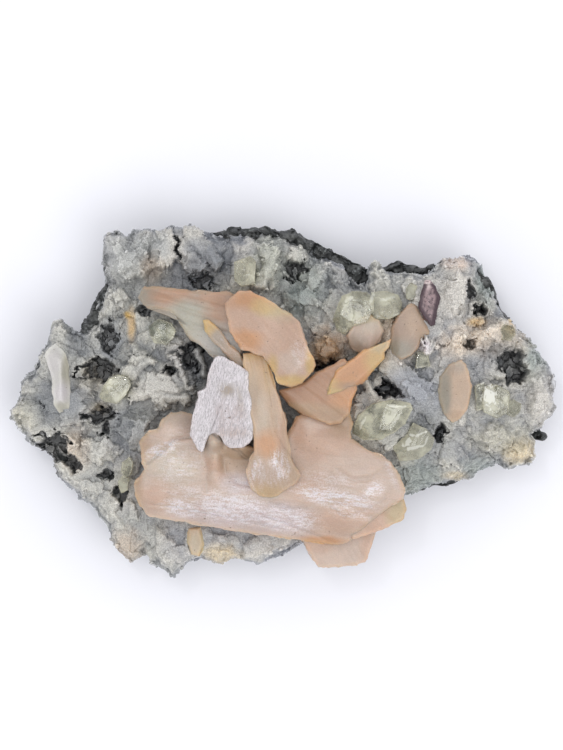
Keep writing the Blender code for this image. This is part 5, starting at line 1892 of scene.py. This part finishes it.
def gem(row, seed):
    """A glassy crystal with stepped faces: its shape, its tint with painted glints, and its milkiness,
    painted heavier along the rim for light at the edges.
    """
    top, base = facetted(row, GEM_EDGE), plane(row)

    def roof(x, y):
        z = top(x, y) - bevel(x, y, row.outline, 0.3)
        if row.facets:
            at = flat(x, y)
            z = z + 0.09 * plates(at, 3.2, seed, 0.05) + 0.09 * facets(at, 3.4, seed + 3, 1.3)
        return z

    count = grid_count(row.outline, GEM_CELL, 36, 84)
    points, faces = patch(
        row.outline, roof, lambda x, y: base(x, y) - row.thickness, count, 6, 0.88, 1,
        torn_edge(seed, 0.15),
    )
    x, y = points[:, 0], points[:, 1]
    rim = rim_share(x, y, row.outline, 0.6)
    # milky along the rim: painted light at the edges of the glass
    milk = np.maximum(0.4 * rim, row.milk)
    tint = toward(np.tile(GLASS, (len(points), 1)), GLASS_RIM, 0.3 * rim[:, None])
    tint = toward(tint, MILK, 0.9 * milk[:, None])
    # painted glints, near-white where light would flash off a face
    shine = spots(x, y, GLINTS, 0.5 * facets(points, 0.8, 511), 0.2)
    return points, faces, toward(tint, GLINT, shine[:, None]), np.maximum(milk, shine)


def gems(material):
    """The glassy crystals; the noise of each block starts from a seed of its own."""
    for i, (name, rows) in enumerate(GEMS.items()):
        blocks = [gem(row, 500 + 31 * i + 7 * k) for k, row in enumerate(rows)]
        points, faces, tint, pearl = joined(blocks)
        short = name.replace("apophyllite_", "") + "_of_apophyllite"
        piece(short, points, faces, material, "apophyllite", [name], sharp=25, tint=tint, pearl=pearl)


# floor, lights, camera


# round lamps: name, place, width and power, all aimed at the middle of the specimen
LAMPS = [
    ("key", (0.30, -0.34, 0.85), 0.6, 2.1),
    ("top", (-0.12, 0.10, 0.95), 0.32, 0.8),
    ("glint", (-0.16, 0.22, 0.80), 0.05, 0.3),
]
LAMP_AIM = (0, 0, 0.02)
# the camera's place, its lens and its film width in millimetres
CAMERA_PLACE, LENS, FILM = (0, 0.0056, 0.62), 115.2, 36
FLOOR_HALF = 1.5


def area_light(name, place, size, power):
    """A round lamp at a place in metres, turned to the middle of the specimen."""
    data = bpy.data.lights.new(name, "AREA")
    data.shape = "DISK"
    data.size = size
    data.energy = power
    obj = placed(name, data)
    obj.location = place
    way = np.array(LAMP_AIM, float) - np.array(place, float)
    level = math.hypot(way[0], way[1])
    obj.rotation_euler = (math.atan2(level, -way[2]), 0, math.atan2(way[0], -way[1]) + math.pi)


# the room's brightness: as the sky's height goes from the first number to the second,
# its strength goes from the third to the fourth
SKY = (0.0, 1.0, 0.55, 1.2)


def studio():
    """A pale floor, a soft room, three lamps and the camera straight above."""
    mesh = bpy.data.meshes.new("floor")
    corners = [(-1, -1), (1, -1), (1, 1), (-1, 1)]
    mesh.from_pydata([(FLOOR_HALF * x, FLOOR_HALF * y, 0) for x, y in corners], [], [(0, 1, 2, 3)])
    floor = placed("floor", mesh)
    look = Look("white floor", Roughness=0.9, Base_Color=(0.84, 0.84, 0.885, 1))
    look.wear(Specular_IOR_Level=0.1)
    mesh.materials.append(look.material)

    world = bpy.data.worlds.new("soft room")
    world.use_nodes = True
    sky = world.node_tree.nodes["Background"]
    at = world.node_tree.nodes.new("ShaderNodeTexCoord").outputs["Generated"]
    height = world.node_tree.nodes.new("ShaderNodeSeparateXYZ")
    level = world.node_tree.nodes.new("ShaderNodeMapRange")
    for key, number in zip(("From Min", "From Max", "To Min", "To Max"), SKY):
        level.inputs[key].default_value = number
    world.node_tree.links.new(at, height.inputs[0])
    world.node_tree.links.new(height.outputs[2], level.inputs["Value"])
    world.node_tree.links.new(level.outputs[0], sky.inputs[1])
    sky.inputs[0].default_value = (0.97, 0.98, 1.0, 1)
    bpy.context.scene.world = world
    for lamp in LAMPS:
        area_light(*lamp)

    data = bpy.data.cameras.new("camera")
    data.lens = LENS
    data.sensor_width = FILM
    data.clip_start = 0.01
    camera = placed("camera", data)
    camera.location = CAMERA_PLACE
    bpy.context.scene.camera = camera
    bpy.context.scene.view_settings.view_transform = "Standard"


def main():
    """Build the studio and every piece of the specimen."""
    studio()
    looks = {
        "stilbite": stilbite_look("peach stilbite", 0.42, 0.0),
        # the look of the blade painted near-white for glare, with dull flakes in it
        "glare_flakes": stilbite_look("stilbite with painted glare", 0.30, 0.85, (1.0, 0.9, 0.9)),
        "white": stilbite_look("silky white crystal", 0.35, 0.0, (1.0, 1.0, 0.9)),
        "purple": purple_look(),
    }
    rock(rock_look())
    druse(druse_look())
    stilbites(looks)
    lone_crystals(looks)
    gems(apophyllite_look())


main()
